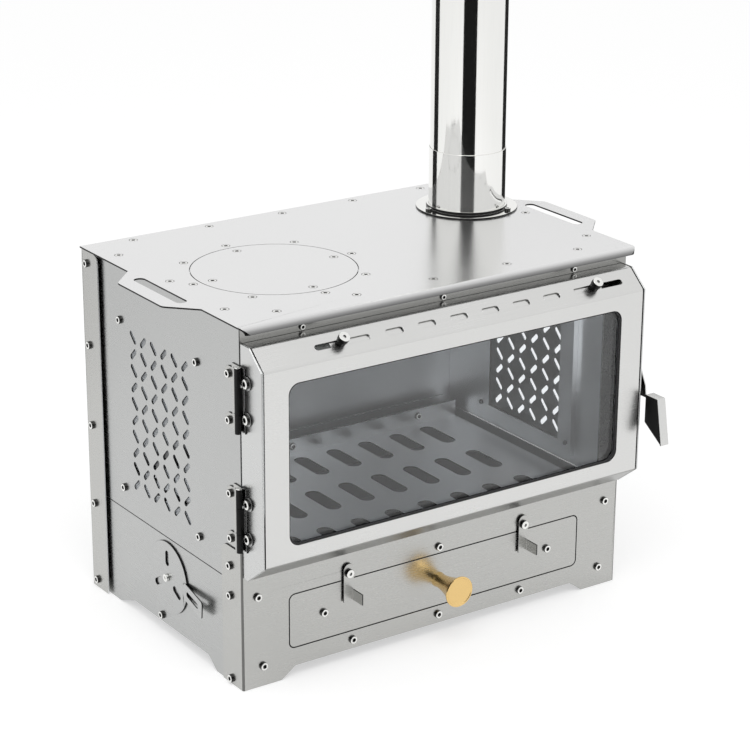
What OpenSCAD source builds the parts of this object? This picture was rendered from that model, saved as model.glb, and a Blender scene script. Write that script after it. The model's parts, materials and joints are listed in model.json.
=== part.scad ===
// Tent wood stove: folded sheet casing with side windows, a glazed door, a drawer for ash,
// a lift-off cook plate and a flue. Millimetres, +Z up, front towards -Y.

/* [Casing] */
// Width over the side flanges
case_w = 400; // [370:1:440]
// Depth from the front panel's face to the back panel's face
case_d = 260; // [245:1:290]
// Height from the floor to the top plate's upper face
case_h = 323; // [318:1:345]
// Thickness of the casing's sheets
sheet = 1.2; // [0.8:0.1:1.5]
// Height of the seam between lower and upper side panels
seam_z = 94; // [88:1:100]
// Gap of that seam
seam_gap = 0.8; // [0.3:0.1:0.9]
// Height of the feet below the casing's lower edge
foot_h = 10; // [6:1:10]
// Run of the slope that ends each foot
foot_slope = 14; // [8:1:20]
// Length of a foot along the front and the back
front_foot = 38; // [25:1:50]
// Length of the front foot along the side
side_foot = 45; // [36:1:55]
// Length of the rear foot along the side
rear_foot = 46; // [36:1:55]
// Width of the flanges that carry the top plate
top_flange = 18; // [15:1:18]
// Depth of the front panel's side flanges
front_flange_d = 32; // [28:1:36]
// Height of the front panel's side flanges
front_flange_h = 126; // [115:1:126]
// Depth of the back panel's side flanges
back_flange_d = 29; // [24:1:36]
// Gap between the back panel's side flanges and the side panels
back_step = 2.4; // [1:0.1:2.9]
// Height of the lower front panel
front_h = 110; // [106:1:114]
// Height of the bottom tray above the floor
tray_z = 11; // [10.5:0.5:14]
// Height of the bottom tray's rim
tray_rim = 14; // [11:1:15]

/* [Top plate] */
// Thickness of the top plate
plate = 1.5; // [1:0.1:2]
// Overhang of the top plate at each side, without its handles
top_over = 3; // [1:0.5:6]
// Reach of the front lip beyond the front panel
lip_reach = 11; // [8:1:14]
// Outer radius of the front lip's bend
lip_r = 6; // [4:0.5:7]
// Overhang of the top plate at the back
top_back = 0.8; // [0:0.1:2]
// Reach of each carrying handle
handle_reach = 23; // [20:1:28]
// Length of each handle where it leaves the plate
handle_root = 122; // [110:1:130]
// Length of each handle's straight outer edge
handle_grip = 74; // [60:1:84]
// Length of the finger slot in each handle
slot_l = 78; // [60:1:84]
// Width of the finger slot in each handle
slot_w = 10; // [8:0.5:12]

/* [Cook plate] */
// Distance of the cook plate's centre from the left side
cook_in = 104; // [103:1:108]
// Distance of the cook plate's centre behind the front
cook_back = 112; // [111:1:120]
// Radius of the hole for the cook plate
cook_hole_r = 72; // [68:0.5:72]
// Thickness of the lift-off cook plate
cook_t = 1.5; // [1:0.1:2.5]
// Gap round the cook plate
cook_gap = 0.7; // [0.4:0.1:1.2]
// Width of the seat under the cook plate's edge
cook_seat = 7.8; // [6:0.1:9]

/* [Flue] */
// Distance of the flue's centre from the right side
flue_in = 44.5; // [43:0.5:50]
// Distance of the flue's centre from the back
flue_rear = 82; // [80:1:88]
// Outer radius of the flue's lower sleeve
sleeve_r = 35.4; // [33:0.1:36]
// Height of the sleeve above the top plate
sleeve_h = 57; // [45:1:70]
// Wall of the sleeve and of the pipe
flue_wall = 0.7; // [0.5:0.1:1]
// Length of the pipe section above the sleeve
pipe_h = 240; // [200:1:400]
// Depth to which the pipe sits in the sleeve
pipe_in = 40; // [25:1:45]
// Radius of the collar's flange
collar_r = 47; // [45:0.5:47]

/* [Door] */
// Distance of the door's hinge end inside the casing's left side
door_in_left = 1.5; // [0.5:0.5:3]
// Distance of the door's latch end inside the casing's right side
door_in_right = 4.5; // [3.5:0.5:6]
// Height of the door's lower edge above the floor
door_z = 103.5; // [102:0.5:105]
// Distance of the door's upper edge below the top plate's upper face
door_drop = 15.5; // [15:0.5:19]
// Depth of the door from its rim to its front face
door_d = 31; // [28:0.5:34]
// Depth of the straight part of the upper edge
door_top_flat = 12.5; // [10:0.5:14]
// Drop of the upper bevel
bevel_top = 16; // [14:0.5:17]
// Depth of the straight part of the lower edge
door_low_flat = 6.5; // [5:0.5:9]
// Rise of the lower bevel
bevel_low = 19; // [16:0.5:20]
// Width of the door's face on each side of the window
window_side = 25.5; // [25:0.5:47]
// Height of the door's face above and below the window
window_edge = 14; // [13.5:0.5:24]
// Corner radius of the window
window_r = 10; // [6:1:14]
// Thickness of the glass panes
glass_t = 4; // [3:0.5:5]
// Thickness of the seal under the door's glass
seal_t = 2; // [1:0.5:3]

/* [Hinges] */
// Distance of the hinge axis outside the casing
hinge_out = 3.2; // [3.2:0.1:4]
// Distance of the hinge axis in front of the casing
hinge_front = 3.2; // [3:0.1:3.6]
// Radius of the hinge pins
pin_r = 1.4; // [1.4:0.05:1.7]
// Outer radius of the hinge knuckles
knuckle_r = 2.7; // [2.65:0.05:3.1]
// Length of each hinge
hinge_l = 56; // [50:1:60]
// Distance of the lower hinge above the front panel's side flange
hinge_rise = 3; // [2:0.5:6]

/* [Air shutter] */
// Length of each short air slot
air_l = 17.5; // [14:0.5:18]
// Width of each short air slot
air_w = 6; // [4:0.5:7]
// Space between the row of short air slots and each knob slot
air_space = 15.5; // [15:0.5:20]
// Distance of the row of air slots to the right of the middle
air_right = 17; // [10:0.5:18]
// Length of the two knob slots
knob_slot_l = 53.4; // [44:0.1:54]
// Distance from each knob slot to half the door's width
knob_slot_end = 37.8; // [36:0.1:40]

/* [Drawer] */
// Width of the drawer's front
drawer_w = 307; // [280:0.5:312]
// Height of the drawer's front
drawer_h = 48.5; // [44:0.5:49]
// Height of the drawer front's lower edge above the floor
drawer_z = 27.5; // [27:0.5:28]
// Corner radius of the drawer's front
drawer_r = 5; // [3:0.5:8]
// Gap round the drawer's front
drawer_gap = 1; // [0.6:0.1:1.2]
// Room between the ash pan and the casing's back face
pan_room = 34; // [32:1:60]
// Radius of the knob's rim
knob_r = 14; // [11:0.5:15]
// Reach of the knob in front of the drawer
knob_l = 31.5; // [24:0.5:34]
// Width of a turn clip
clip_w = 10.4; // [8:0.1:12]
// Length of a turn clip
clip_l = 35; // [30:0.5:38]
// Distance of the left clip from the middle
clip_left = 95.5; // [88:0.5:100]
// Distance of the right clip from the middle
clip_right = 91; // [86:0.5:100]

/* [Latch] */
// Reach of the latch handle to the side of its plate
grip_w = 9.4; // [7:0.1:12]
// Thickness of the latch lever
lever_t = 1.5; // [1.2:0.1:1.8]
// Radius of the latch stud on the casing
stud_r = 2.5; // [2:0.1:2.7]
// Radius of the latch pivot
latch_pin_r = 2; // [1.6:0.1:2.4]

/* [Damper] */
// Radius of the damper disk
damper_r = 33; // [30:0.5:34]
// Distance of the damper's centre behind the front
damper_back = 124; // [118:1:128]
// Height of the damper's centre above the floor
damper_z = 57.4; // [55:0.1:58]
// Reach of the damper's tab from its centre
damper_tab = 68; // [60:1:70]
// Width of the damper's tab
damper_tab_w = 16; // [12:0.5:18]

/* [Perforation] */
// Columns of slots in a side panel
vent_cols = 6; // [4:1:6]
// Distance between the columns
vent_col_pitch = 17.5; // [17:0.1:18]
// Distance between the rows
vent_row_pitch = 15.15; // [14.5:0.05:15.2]
// Length of a slot in a side panel
vent_l = 13.2; // [10:0.1:14.5]
// Width of a slot in a side panel
vent_w = 4.6; // [3:0.1:5]

/* [Grate] */
// Height of the grate's upper face above the floor
grate_z = 90; // [88:0.5:91]
// Height of the grate's rims
grate_rim = 15.6; // [13:0.1:16]
// Depth of the channel in front of and behind the grate
rail_d = 19.6; // [16:0.1:20]
// Bridge between the ends of the slots in the grate
grate_bridge = 26.7; // [14:0.1:28]
// Width of a slot in the grate
grate_slot_w = 15; // [7:0.5:16]
// Distance between slots across the grate
grate_pitch_x = 36.1; // [30:0.1:38]
// Distance of the slots from the grate's front and rear faces
grate_edge = 10.9; // [8:0.1:14]

/* [Screws] */
// Radius of the small screws
screw_r = 2; // [1.5:0.1:2.2]
// Radius of their heads
head_r = 3.5; // [2.8:0.1:3.6]
// Height of their heads
head_h = 2.4; // [2:0.1:3]

/* [Hidden] */
$fn = 48;

// Overrun of every cut beyond the faces that it passes
cut = 2;
// Clearance between a screw and its hole
screw_gap = 0.2;
// Clearance of a pivot or pin in its bore
run_gap = 0.05;
// Clearance between flat faces that slide or turn past each other
slide_gap = 0.3;
// Clearance between parts that are only set side by side
side_gap = 0.2;

half_w = case_w / 2;
mid_d = case_d / 2;
// Outer face and inner face of the side panels, inner face of the back panel
wall_out = half_w - sheet;
wall_in = half_w - 2 * sheet;
back_in = case_d - sheet;
// Outer face of the back panel's side flanges
back_out = wall_out + back_step + sheet;
// Underside of the top plate and of the flanges that carry it
top_w = case_w + 2 * top_over;
top_low = case_h - plate;
flange_low = top_low - sheet;

// Small screws: socket, nut, length below the head, hole
socket_r = 1.5;
socket_d = 1.4;
nut_r = 3.4;
nut_h = 2.2;
screw_grip = 5;
back_grip = screw_grip + back_step;
hole_r = screw_r + screw_gap;

// Screws on the front and the back
front_low_screw_z = 18.5;
front_low_inset = 20;
front_low_pitch = (half_w - front_low_inset) / 2;
front_high_screw_z = 83;
front_high_inset = 15;
front_high_x = half_w - front_high_inset;
header_screw_drop = 10.5;
header_screw_z = top_low - header_screw_drop;
header_inset = 60;
header_pitch = half_w - header_inset;
header_head_r = 2.6;
header_head_h = 1.8;
// Screws on the sides
flange_screw_y = 18.5;
flange_screw_z = [5, 81.5, 108.7];
back_screw_inset = 10;
back_screw_foot_z = 7.8;
back_screw_drop = 11.5;
back_screw_pitch = (top_low - back_screw_drop - back_screw_foot_z) / 4;
tray_screw_shift = 7.5;
tray_screw_y = mid_d + tray_screw_shift;
tray_screw_z = 16;
frame_grip = 8;

// Slope behind the rear foot, rounded flange corners
rear_slope = 27;
flange_corner = 8;

// Top plate screws: places; countersink: radius, share of the plate's thickness, clearance
top_row_inset = 45;
top_pitch = (half_w - top_row_inset) / 2;
top_front_y = 14;
top_back_inset = 9;
top_side_inset = 12.7;
top_side_end = 41.5;
top_side_pitch = mid_d - top_side_end;
top_grip = 6;
sink_r = 3.8;
sink_share = 0.8;
sink_gap = 0.1;

// Rail under the top plate's front edge, plate over the door, jambs beside it
rail_reach = 24;
rail_drop = 23;
header_h = 38.5;
header_z = top_low - header_h;
jamb_w = 22;
jamb_lap = 3;
jamb_z = front_h - jamb_lap;

// Middle of the handles, bridge between handle slot and plate edge, corner radius
handle_ahead = 17;
handle_mid = mid_d - handle_ahead;
slot_bridge = 1.5;
handle_corner = 7;
// Corner radius of the front lip, seen from above
lip_corner = 8;

// Cook plate: centre, seat ring, locating ring and screws
cook_left = half_w - cook_in;
seat_lap = 12;
seat_t = 1.5;
seat_screw_out = 7.3;
seat_screws = 8;
seat_grip = 4;
lid_r = cook_hole_r - cook_gap;
lid_ring_gap = 0.4;
lid_ring_r = cook_hole_r - cook_seat - lid_ring_gap;
lid_ring_w = 10;
lid_ring_t = 3;
lid_screw_in = 3.1;
lid_screws = 4;
lid_grip = 5.5;

// Flue: centre, collar
flue_right = half_w - flue_in;
flue_back = case_d - flue_rear;
collar_t = 1.5;
neck_t = 2;
neck_h = 4;
collar_screw_out = 6.5;
collar_screw_head_r = 2.8;
collar_screw_turn = 237.7;
sleeve_drop = 6;
pipe_gap = 0.1;
pipe_r = sleeve_r - flue_wall - pipe_gap;

// Hinges: axis, knuckles, ears and screws
hinge_x = -(half_w + hinge_out);
hinge_y = -hinge_front;
knuckle_share = 0.4;
knuckle_gap = 0.3;
pin_head_r = 2.6;
pin_head_h = 1;
casing_leaf_d = 11;
casing_ear_r = 6.5;
casing_ear_y = 15.5;
casing_ear_z = 20;
casing_ear_drop = 2.5;
door_leaf_start = 1;
door_leaf_d = 8;
door_ear_r = 6;
door_ear_y = 11;
door_ear_z = 15.3;
door_ear_rise = 1;
web_t = 1.6;
web_in = 2.6;
web_low = 1.5;
web_high = 3;
door_screw_grip = 4;
door_screw_head_r = 4.4;

// Door: places of its faces, window
door_gap = 0.5;
door_x0 = door_in_left - half_w;
door_x1 = half_w - door_in_right;
door_w = door_x1 - door_x0;
door_top_z = case_h - door_drop;
door_front = -(door_gap + door_d);
window_x = (door_x0 + door_x1) / 2;
window_z = (door_z + bevel_low + door_top_z - bevel_top) / 2;
window_w = door_w - 2 * window_side;
window_h = door_top_z - bevel_top - door_z - bevel_low - 2 * window_edge;
glass_lap = 7;
seal_show = 1.5;
retainer_lap_x = 17.5;
retainer_lap_z = 8.5;
stud_out = 11.5;
stud_x = window_w / 2 + stud_out;
stud_in = 4.5;
stud_z = window_h / 2 - stud_in;
stud_thread_r = 1.5;
stud_l = 11;

// Hinges: middles; the upper one keeps a share of the height between the flange and the door's edge
hinge_low_z = front_flange_h + hinge_rise + hinge_l / 2;
hinge_high_share = 0.256;
hinge_high_z = door_top_z - hinge_high_share * (door_top_z - front_flange_h);

// Upper bevel: angle and middle; lower bevel: angle
bevel_run = door_d - door_top_flat;
bevel_turn = atan2(bevel_top, bevel_run);
bevel_y = door_front + bevel_run / 2;
bevel_z = door_top_z - bevel_top / 2;
low_run = door_d - door_low_flat;
low_turn = atan2(bevel_low, low_run);

// Air shutter and its knobs
air_count = 6;
shutter_w = 16;
shutter_t = 1;
shutter_end = 9;
knob_shift = 3.5;
knob_slot_x = door_w / 2 - knob_slot_end - knob_slot_l / 2;
air_row = knob_slot_x - knob_slot_l / 2 - air_space;
air_pitch = (2 * air_row - air_l) / (air_count - 1);
knob_span_in = 1.5;
knob_span = knob_slot_x - knob_span_in;
knob_shank_r = 2.4;
knob_slot_w = 2 * (knob_shank_r + slide_gap);
knob_nut_r = 4.3;
knob_nut_h = 4;
knob_head_r = 4.8;
knob_head_h = 5;

// Drawer, pan and runners
drawer_mid_z = drawer_z + drawer_h / 2;
open_w = drawer_w + 2 * drawer_gap;
open_h = drawer_h + 2 * drawer_gap;
open_r = drawer_r + drawer_gap;
pan_side_in = 5.2;
pan_high_in = 4.5;
pan_x = drawer_w / 2 - pan_side_in;
pan_z0 = drawer_z + pan_high_in;
pan_z1 = drawer_z + drawer_h - pan_high_in;
pan_l = case_d - pan_room;
drawer_screw_in = 34;
drawer_screw_x = drawer_w / 2 - drawer_screw_in;
drawer_grip = 4;
runner_foot = 12;
runner_shelf = 9;
runner_guide = 9;
runner_gap = 0.5;
runner_over = 8;

// Drawer knob
knob_base_r = 5.5;
knob_neck_r = 4.5;
knob_base_l = 6;
knob_rim = 1;
knob_rim_t = 3;
knob_hole_r = 2;

// Turn clips
clip_pivot_z = 83;
clip_above = 8.5;
clip_gap = 1.2;
clip_y1 = -clip_gap;
clip_y0 = clip_y1 - sheet;
clip_tab_z = 57;
clip_tab_h = 10;
clip_tab_l = 14;
clip_collar_r = 3.6;
clip_head_r = 3.8;
clip_shank_l = 4.5;
clip_hole_r = 2.3;

// Latch: pivot, bracket, lever and stud
latch_y = -18;
latch_drop = 4;
latch_z = window_z - latch_drop;
boss_r = 5;
bracket_t = 2;
bracket_y0 = 29;
bracket_y1 = 6;
bracket_below = 35;
bracket_above = 9;
bracket_z0 = latch_z - bracket_below;
bracket_z1 = latch_z + bracket_above;
bracket_screw_z = 10;
bracket_screw_y = 5.5;
bracket_head_h = 1.8;
lever_gap = 1.6;
lever_x = half_w + lever_gap;
lever_top = 13;
lever_top_front = 4;
lever_top_back = 6;
arm_high = 7;
arm_low = 14;
arm_back = 14;
nose_in = 31.2;
nose_out = 36.5;
nose_high = 2.9;
grip_top = 11;
grip_back = 13;
grip_front = 29;
grip_tip = 36.5;
grip_low = 53;
grip_heel = 37;
stud_y = 10;
stud_head_r = 4;
stud_head_t = 1.8;
stud_inner_t = 1.4;
stud_gap = 0.5;

// Damper
damper_slots = 3;
damper_slot_l = 14;
damper_slot_w = 6;
damper_slot_at = 18;
damper_tilt = 3.7;
damper_kick = 8;
damper_tab_root = 27;
damper_tab_corner = 3;
damper_tab_slot_l = 25.5;
damper_tab_slot_w = 4.6;
damper_tab_slot_at = 20;

// Perforated window: frame between seam and top, its screws, pane, slot pattern
frame_above_seam = 9.8;
frame_below_top = 37.7;
frame_low = seam_z + frame_above_seam;
frame_high = top_low - frame_below_top;
frame_w = 12;
frame_y = 72;
frame_z = (frame_high - frame_low) / 2;
frame_open_y = 53;
frame_open_z = frame_z - frame_w;
frame_screw_in = 7;
frame_screw_y = frame_y - frame_screw_in;
frame_screw_z = frame_open_z;
pane_in = 6;
pane_y = 59;
pane_z = frame_z - pane_in;
frame_back = 4;
frame_mid = mid_d + frame_back;
vent_back = 2.5;
vent_y = mid_d + vent_back;
vent_z = (frame_high + frame_low) / 2;
vent_rows = floor(2 * frame_open_z / vent_row_pitch);

// Grate and its rails
rail_z = 78;
rail_end_gap = 6.6;
rail_half = wall_in - rail_end_gap;
rail_top = grate_z + grate_rim;
grate_side_gap = 1;
grate_y0 = sheet + rail_d;
grate_cols = 9;
grate_rows = 3;
grate_run = case_d - 2 * grate_y0 - 2 * grate_edge + grate_bridge;
grate_pitch_y = grate_run / grate_rows;
grate_slot_l = grate_pitch_y - grate_bridge;
grate_screw_z = 98.4;
grate_screw_in = 46;
grate_screw_x = rail_half - grate_screw_in;
grate_grip = 3;

// Depth range of the whole stove, from the latch grip's tip to the back screws
front_reach = -(latch_y - grip_tip);
mid_y = (case_d + head_h - front_reach) / 2;

steel = [0.78, 0.79, 0.78];
bright = [0.88, 0.88, 0.88];
dark = [0.35, 0.36, 0.37];
brass = [0.80, 0.62, 0.30];
pane = [0.45, 0.52, 0.56, 0.5];

// Moves the stove so that the middle of its box stands on the origin
module placed() {
    translate([0, -mid_y, 0]) children();
}

// Box between two corners
module block(lo, hi) {
    translate(lo) cube(hi - lo);
}

module rod_x(r, x0, x1) {
    translate([x0, 0, 0]) rotate([0, 90, 0]) cylinder(r = r, h = x1 - x0);
}

module rod_y(r, y0, y1) {
    translate([0, y0, 0]) rotate([-90, 0, 0]) cylinder(r = r, h = y1 - y0);
}

module rod_z(r, z0, z1) {
    translate([0, 0, z0]) cylinder(r = r, h = z1 - z0);
}

// Plate that stands across the stove, from an outline in X and Z
module across(y0, y1) {
    translate([0, y1, 0]) rotate([90, 0, 0]) linear_extrude(y1 - y0) children();
}

// Plate that stands along the stove, from an outline in Y and Z
module along(x0, x1) {
    translate([x0, 0, 0]) rotate([90, 0, 90]) linear_extrude(x1 - x0) children();
}

// Flat plate, from an outline in X and Y
module level(z0, z1) {
    translate([0, 0, z0]) linear_extrude(z1 - z0) children();
}

module round_rect(w, h, r) {
    square([w - 2 * r, h], center = true);
    square([w, h - 2 * r], center = true);
    for (x = [-1, 1], y = [-1, 1])
        translate([x * (w / 2 - r), y * (h / 2 - r)]) circle(r);
}

module obround(l, w) {
    square([l - w, w], center = true);
    for (x = [-1, 1])
        translate([x * (l - w) / 2, 0]) circle(w / 2);
}

module ring(r_in, r_out, z0, z1) {
    difference() {
        rod_z(r_out, z0, z1);
        rod_z(r_in, z0 - cut, z1 + cut);
    }
}

// Screw with its head on the plane z = 0 and its shank below
module screw(grip, r = head_r, tall = head_h, shank = screw_r) {
    difference() {
        union() {
            rod_z(r, 0, tall);
            rod_z(shank, -grip, tall / 2);
        }
        translate([0, 0, tall - socket_d]) cylinder(r = socket_r, h = socket_d + cut, $fn = 6);
    }
}

module drill(r = hole_r, depth = screw_grip + cut) {
    rod_z(r, -depth, cut);
}

// Directions in which screw heads look
module to_front() {
    rotate([90, 0, 0]) children();
}

module to_back() {
    rotate([-90, 0, 0]) children();
}

module to_side(side) {
    rotate([0, side * 90, 0]) children();
}

// Screw places
module at_front_low(y = 0) {
    for (i = [-2:2])
        translate([i * front_low_pitch, y, front_low_screw_z]) children();
}

module at_front_high(y = 0) {
    for (i = [-1:1])
        translate([i * front_high_x, y, front_high_screw_z]) children();
}

module at_header() {
    for (i = [-1:1])
        translate([i * header_pitch, 0, header_screw_z]) children();
}

module at_flange(side) {
    for (z = flange_screw_z)
        translate([side * half_w, flange_screw_y, z]) to_side(side) children();
}

module at_back_flange(side) {
    for (i = [0:4])
        translate([side * back_out, case_d - back_screw_inset, back_screw_foot_z + i * back_screw_pitch])
            to_side(side) children();
}

module at_tray(side) {
    translate([side * wall_out, tray_screw_y, tray_screw_z]) to_side(side) children();
}

module at_frame(side) {
    for (y = [-1, 1], z = [-1, 1])
        translate([side * wall_out, frame_mid + y * frame_screw_y, vent_z + z * frame_screw_z])
            to_side(side) children();
}

module at_top() {
    for (i = [-2:2], y = [top_front_y, case_d - top_back_inset])
        translate([i * top_pitch, y, case_h]) children();
    for (side = [-1, 1], i = [-1:1])
        translate([side * (half_w - top_side_inset), mid_d + i * top_side_pitch, case_h]) children();
}

module at_cook() {
    translate([-cook_left, cook_back, 0]) children();
}

module at_seat_screws() {
    for (i = [0:seat_screws - 1])
        at_cook() rotate([0, 0, i * 360 / seat_screws])
            translate([cook_hole_r + seat_screw_out, 0, case_h]) children();
}

module at_lid_screws() {
    for (i = [0:lid_screws - 1])
        at_cook() rotate([0, 0, i * 360 / lid_screws])
            translate([lid_ring_r - lid_screw_in, 0, top_low + cook_t]) children();
}

module at_flue() {
    translate([flue_right, flue_back, 0]) children();
}

module at_collar_screws() {
    for (turn = [60, 180, 300])
        at_flue() rotate([0, 0, collar_screw_turn + turn])
            translate([sleeve_r + collar_screw_out, 0, case_h + collar_t]) children();
}

module at_casing_ears(hinge_z) {
    for (z = [-1, 1])
        translate([-half_w, casing_ear_y, hinge_z - casing_ear_drop + z * casing_ear_z])
            to_side(-1) children();
}

module at_door_ears(hinge_z) {
    for (z = [-1, 1])
        translate([door_x0 - sheet, -door_ear_y, hinge_z + door_ear_rise + z * door_ear_z])
            to_side(-1) children();
}

module at_bracket_screws() {
    for (i = [-1, 1])
        translate([door_x1 + bracket_t, latch_y + i * bracket_screw_y, bracket_z0 + bracket_screw_z])
            to_side(1) children();
}

module at_grate_screws() {
    for (i = [-1:1]) {
        translate([i * grate_screw_x, grate_y0 + sheet, grate_screw_z]) to_back() children();
        translate([i * grate_screw_x, case_d - grate_y0 - sheet, grate_screw_z]) to_front() children();
    }
}

module at_drawer_screws() {
    for (i = [-1, 1])
        translate([i * drawer_screw_x, 0, drawer_mid_z]) to_front() children();
}

module at_clips(y = 0) {
    for (x = [-clip_left, clip_right])
        translate([x, y, clip_pivot_z]) children();
}

module at_studs(y = 0) {
    for (x = [-1, 1], i = [-1:1])
        translate([window_x + x * stud_x, y, window_z + i * stud_z]) children();
}

module at_bevel() {
    translate([0, bevel_y, bevel_z]) rotate([bevel_turn, 0, 0]) children();
}

module at_damper(x) {
    translate([-x, damper_back, damper_z]) children();
}

// Outline with feet, shared by the front and the back
module footed(half, top) {
    run = half_w - front_foot;
    polygon([[-half, 0], [-run, 0], [-run + foot_slope, foot_h], [run - foot_slope, foot_h],
        [run, 0], [half, 0], [half, top], [-half, top]]);
}

// Rectangle from the origin with one round corner, at its far upper end
module flange_outline(d, h) {
    square([d, h - flange_corner]);
    square([d - flange_corner, h]);
    translate([d - flange_corner, h - flange_corner]) circle(flange_corner);
}

module opening_outline() {
    translate([0, drawer_mid_z]) round_rect(open_w, open_h, open_r);
}

module lower_front_panel() {
    color(steel) placed() difference() {
        union() {
            across(0, sheet) footed(half_w, front_h);
            for (side = [0, 1])
                mirror([side, 0, 0]) along(wall_out, half_w) flange_outline(front_flange_d, front_flange_h);
        }
        across(-cut, sheet + cut) opening_outline();
        at_front_low() to_front() drill();
        at_front_high() to_front() drill();
        at_clips() to_front() drill(clip_hole_r);
        for (side = [-1, 1])
            at_flange(side) drill();
    }
}

module header_plate() {
    color(steel) placed() difference() {
        block([-wall_out, 0, header_z], [wall_out, sheet, top_low]);
        at_header() to_front() drill();
    }
}

module front_top_rail() {
    leg = wall_in - jamb_w - side_gap;
    color(steel) placed() difference() {
        union() {
            block([-leg, sheet, top_low - rail_drop], [leg, 2 * sheet, top_low]);
            block([side_gap - wall_in, sheet, flange_low], [wall_in - side_gap, rail_reach, top_low]);
        }
        at_header() to_front() drill();
        at_top() drill(hole_r, top_grip + cut);
    }
}

// Slots that lean to alternate sides, over the whole window
module vents() {
    for (c = [0:vent_cols - 1], r = [0:vent_rows - 1])
        translate([vent_y + (c - (vent_cols - 1) / 2) * vent_col_pitch,
            vent_z + (r - (vent_rows - 1) / 2) * vent_row_pitch])
            rotate(45 + 90 * ((c + r) % 2)) obround(vent_l, vent_w);
}

module side_panel(side) {
    difference() {
        union() {
            mirror([side < 0 ? 1 : 0, 0, 0]) {
                along(wall_in, wall_out) difference() {
                    translate([sheet, seam_z + seam_gap])
                        square([back_in - sheet, top_low - seam_z - seam_gap]);
                    vents();
                }
                block([wall_in - jamb_w, sheet, jamb_z], [wall_out, 2 * sheet, flange_low]);
                block([wall_out - top_flange, rail_reach + side_gap, flange_low],
                    [wall_out, case_d - rail_reach - side_gap, top_low]);
            }
        }
        at_top() drill(hole_r, top_grip + cut);
        at_flange(side) drill();
        at_back_flange(side) drill(hole_r, back_grip + cut);
        at_frame(side) drill();
    }
}

module left_side_panel() {
    color(steel) placed() difference() {
        side_panel(-1);
        for (z = [hinge_low_z, hinge_high_z])
            at_casing_ears(z) drill();
    }
}

module right_side_panel() {
    color(steel) placed() difference() {
        side_panel(1);
        translate([0, stud_y, latch_z]) rod_x(stud_r + screw_gap, wall_in - cut, half_w);
        at_flue() rod_z(sleeve_r + side_gap, flange_low - cut, top_low + cut);
    }
}

module lower_side_panel(side) {
    difference() {
        mirror([side < 0 ? 1 : 0, 0, 0]) along(wall_in, wall_out)
            polygon([[sheet, 0], [side_foot, 0], [side_foot + foot_slope, foot_h],
                [case_d - rear_foot - rear_slope, foot_h], [case_d - rear_foot, 0],
                [back_in, 0], [back_in, seam_z], [sheet, seam_z]]);
        at_flange(side) drill();
        at_back_flange(side) drill(hole_r, back_grip + cut);
        at_tray(side) drill();
    }
}

// Radial slots of the damper, in Y and Z round its centre
module damper_slots_outline(turn) {
    for (i = [0:damper_slots - 1])
        rotate(turn + i * 360 / damper_slots)
            translate([damper_slot_at, 0]) obround(damper_slot_l, damper_slot_w);
}

module left_lower_panel() {
    color(steel) placed() difference() {
        lower_side_panel(-1);
        at_damper(half_w) {
            along(0, cut * 2) damper_slots_outline(30);
            rod_x(hole_r, 0, cut * 2);
        }
    }
}

module right_lower_panel() {
    color(steel) placed() lower_side_panel(1);
}

module back_panel() {
    color(steel) placed() difference() {
        union() {
            across(back_in, case_d) footed(back_out, top_low);
            block([side_gap - wall_in, case_d - rail_reach, flange_low],
                [wall_in - side_gap, case_d, top_low]);
            for (side = [0, 1])
                mirror([side, 0, 0]) along(back_out - sheet, back_out)
                    translate([case_d, 0]) mirror([1, 0]) flange_outline(back_flange_d, top_low);
        }
        at_top() drill(hole_r, top_grip + cut);
        at_front_low(case_d) to_back() drill();
        at_front_high(case_d) to_back() drill();
        for (side = [-1, 1])
            at_back_flange(side) drill(hole_r, back_grip + cut);
    }
}

module bottom_tray() {
    inner = wall_in - sheet;
    color(steel) placed() difference() {
        block([-wall_in, sheet, tray_z], [wall_in, back_in, tray_z + tray_rim]);
        block([-inner, 2 * sheet, tray_z + sheet], [inner, back_in - sheet, tray_z + tray_rim + cut]);
        at_front_low() to_front() drill();
        at_front_low(case_d) to_back() drill();
        for (side = [-1, 1])
            at_tray(side) drill();
    }
}

// Runners stand on the tray: a foot, a guide beside the pan and a shelf under it
module drawer_runners() {
    guide = pan_x + runner_gap;
    floor_z = tray_z + sheet;
    shelf_z = pan_z0 - slide_gap;
    color(steel) placed() for (side = [0, 1])
        mirror([side, 0, 0]) translate([0, pan_l + runner_over, 0]) rotate([90, 0, 0])
            linear_extrude(pan_l + runner_over - 2 * sheet - side_gap) {
                translate([guide, floor_z]) square([sheet, shelf_z + runner_guide - floor_z]);
                translate([guide, floor_z]) square([runner_foot, sheet]);
                translate([guide - runner_shelf, shelf_z - sheet]) square([runner_shelf + sheet, sheet]);
            }
}

// Channel that carries one edge of the grate, open upwards
module grate_rail() {
    difference() {
        block([-rail_half, sheet, rail_z], [rail_half, grate_y0, rail_top]);
        block([-rail_half - cut, 2 * sheet, rail_z + sheet],
            [rail_half + cut, grate_y0 - sheet, rail_top + cut]);
    }
}

module front_grate_rail() {
    color(steel) placed() difference() {
        grate_rail();
        at_front_high() to_front() drill();
        at_clips() to_front() drill(clip_hole_r);
        at_grate_screws() drill();
    }
}

module rear_grate_rail() {
    color(steel) placed() difference() {
        translate([0, case_d, 0]) mirror([0, 1, 0]) grate_rail();
        at_front_high(case_d) to_back() drill();
        at_grate_screws() drill();
    }
}

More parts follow.
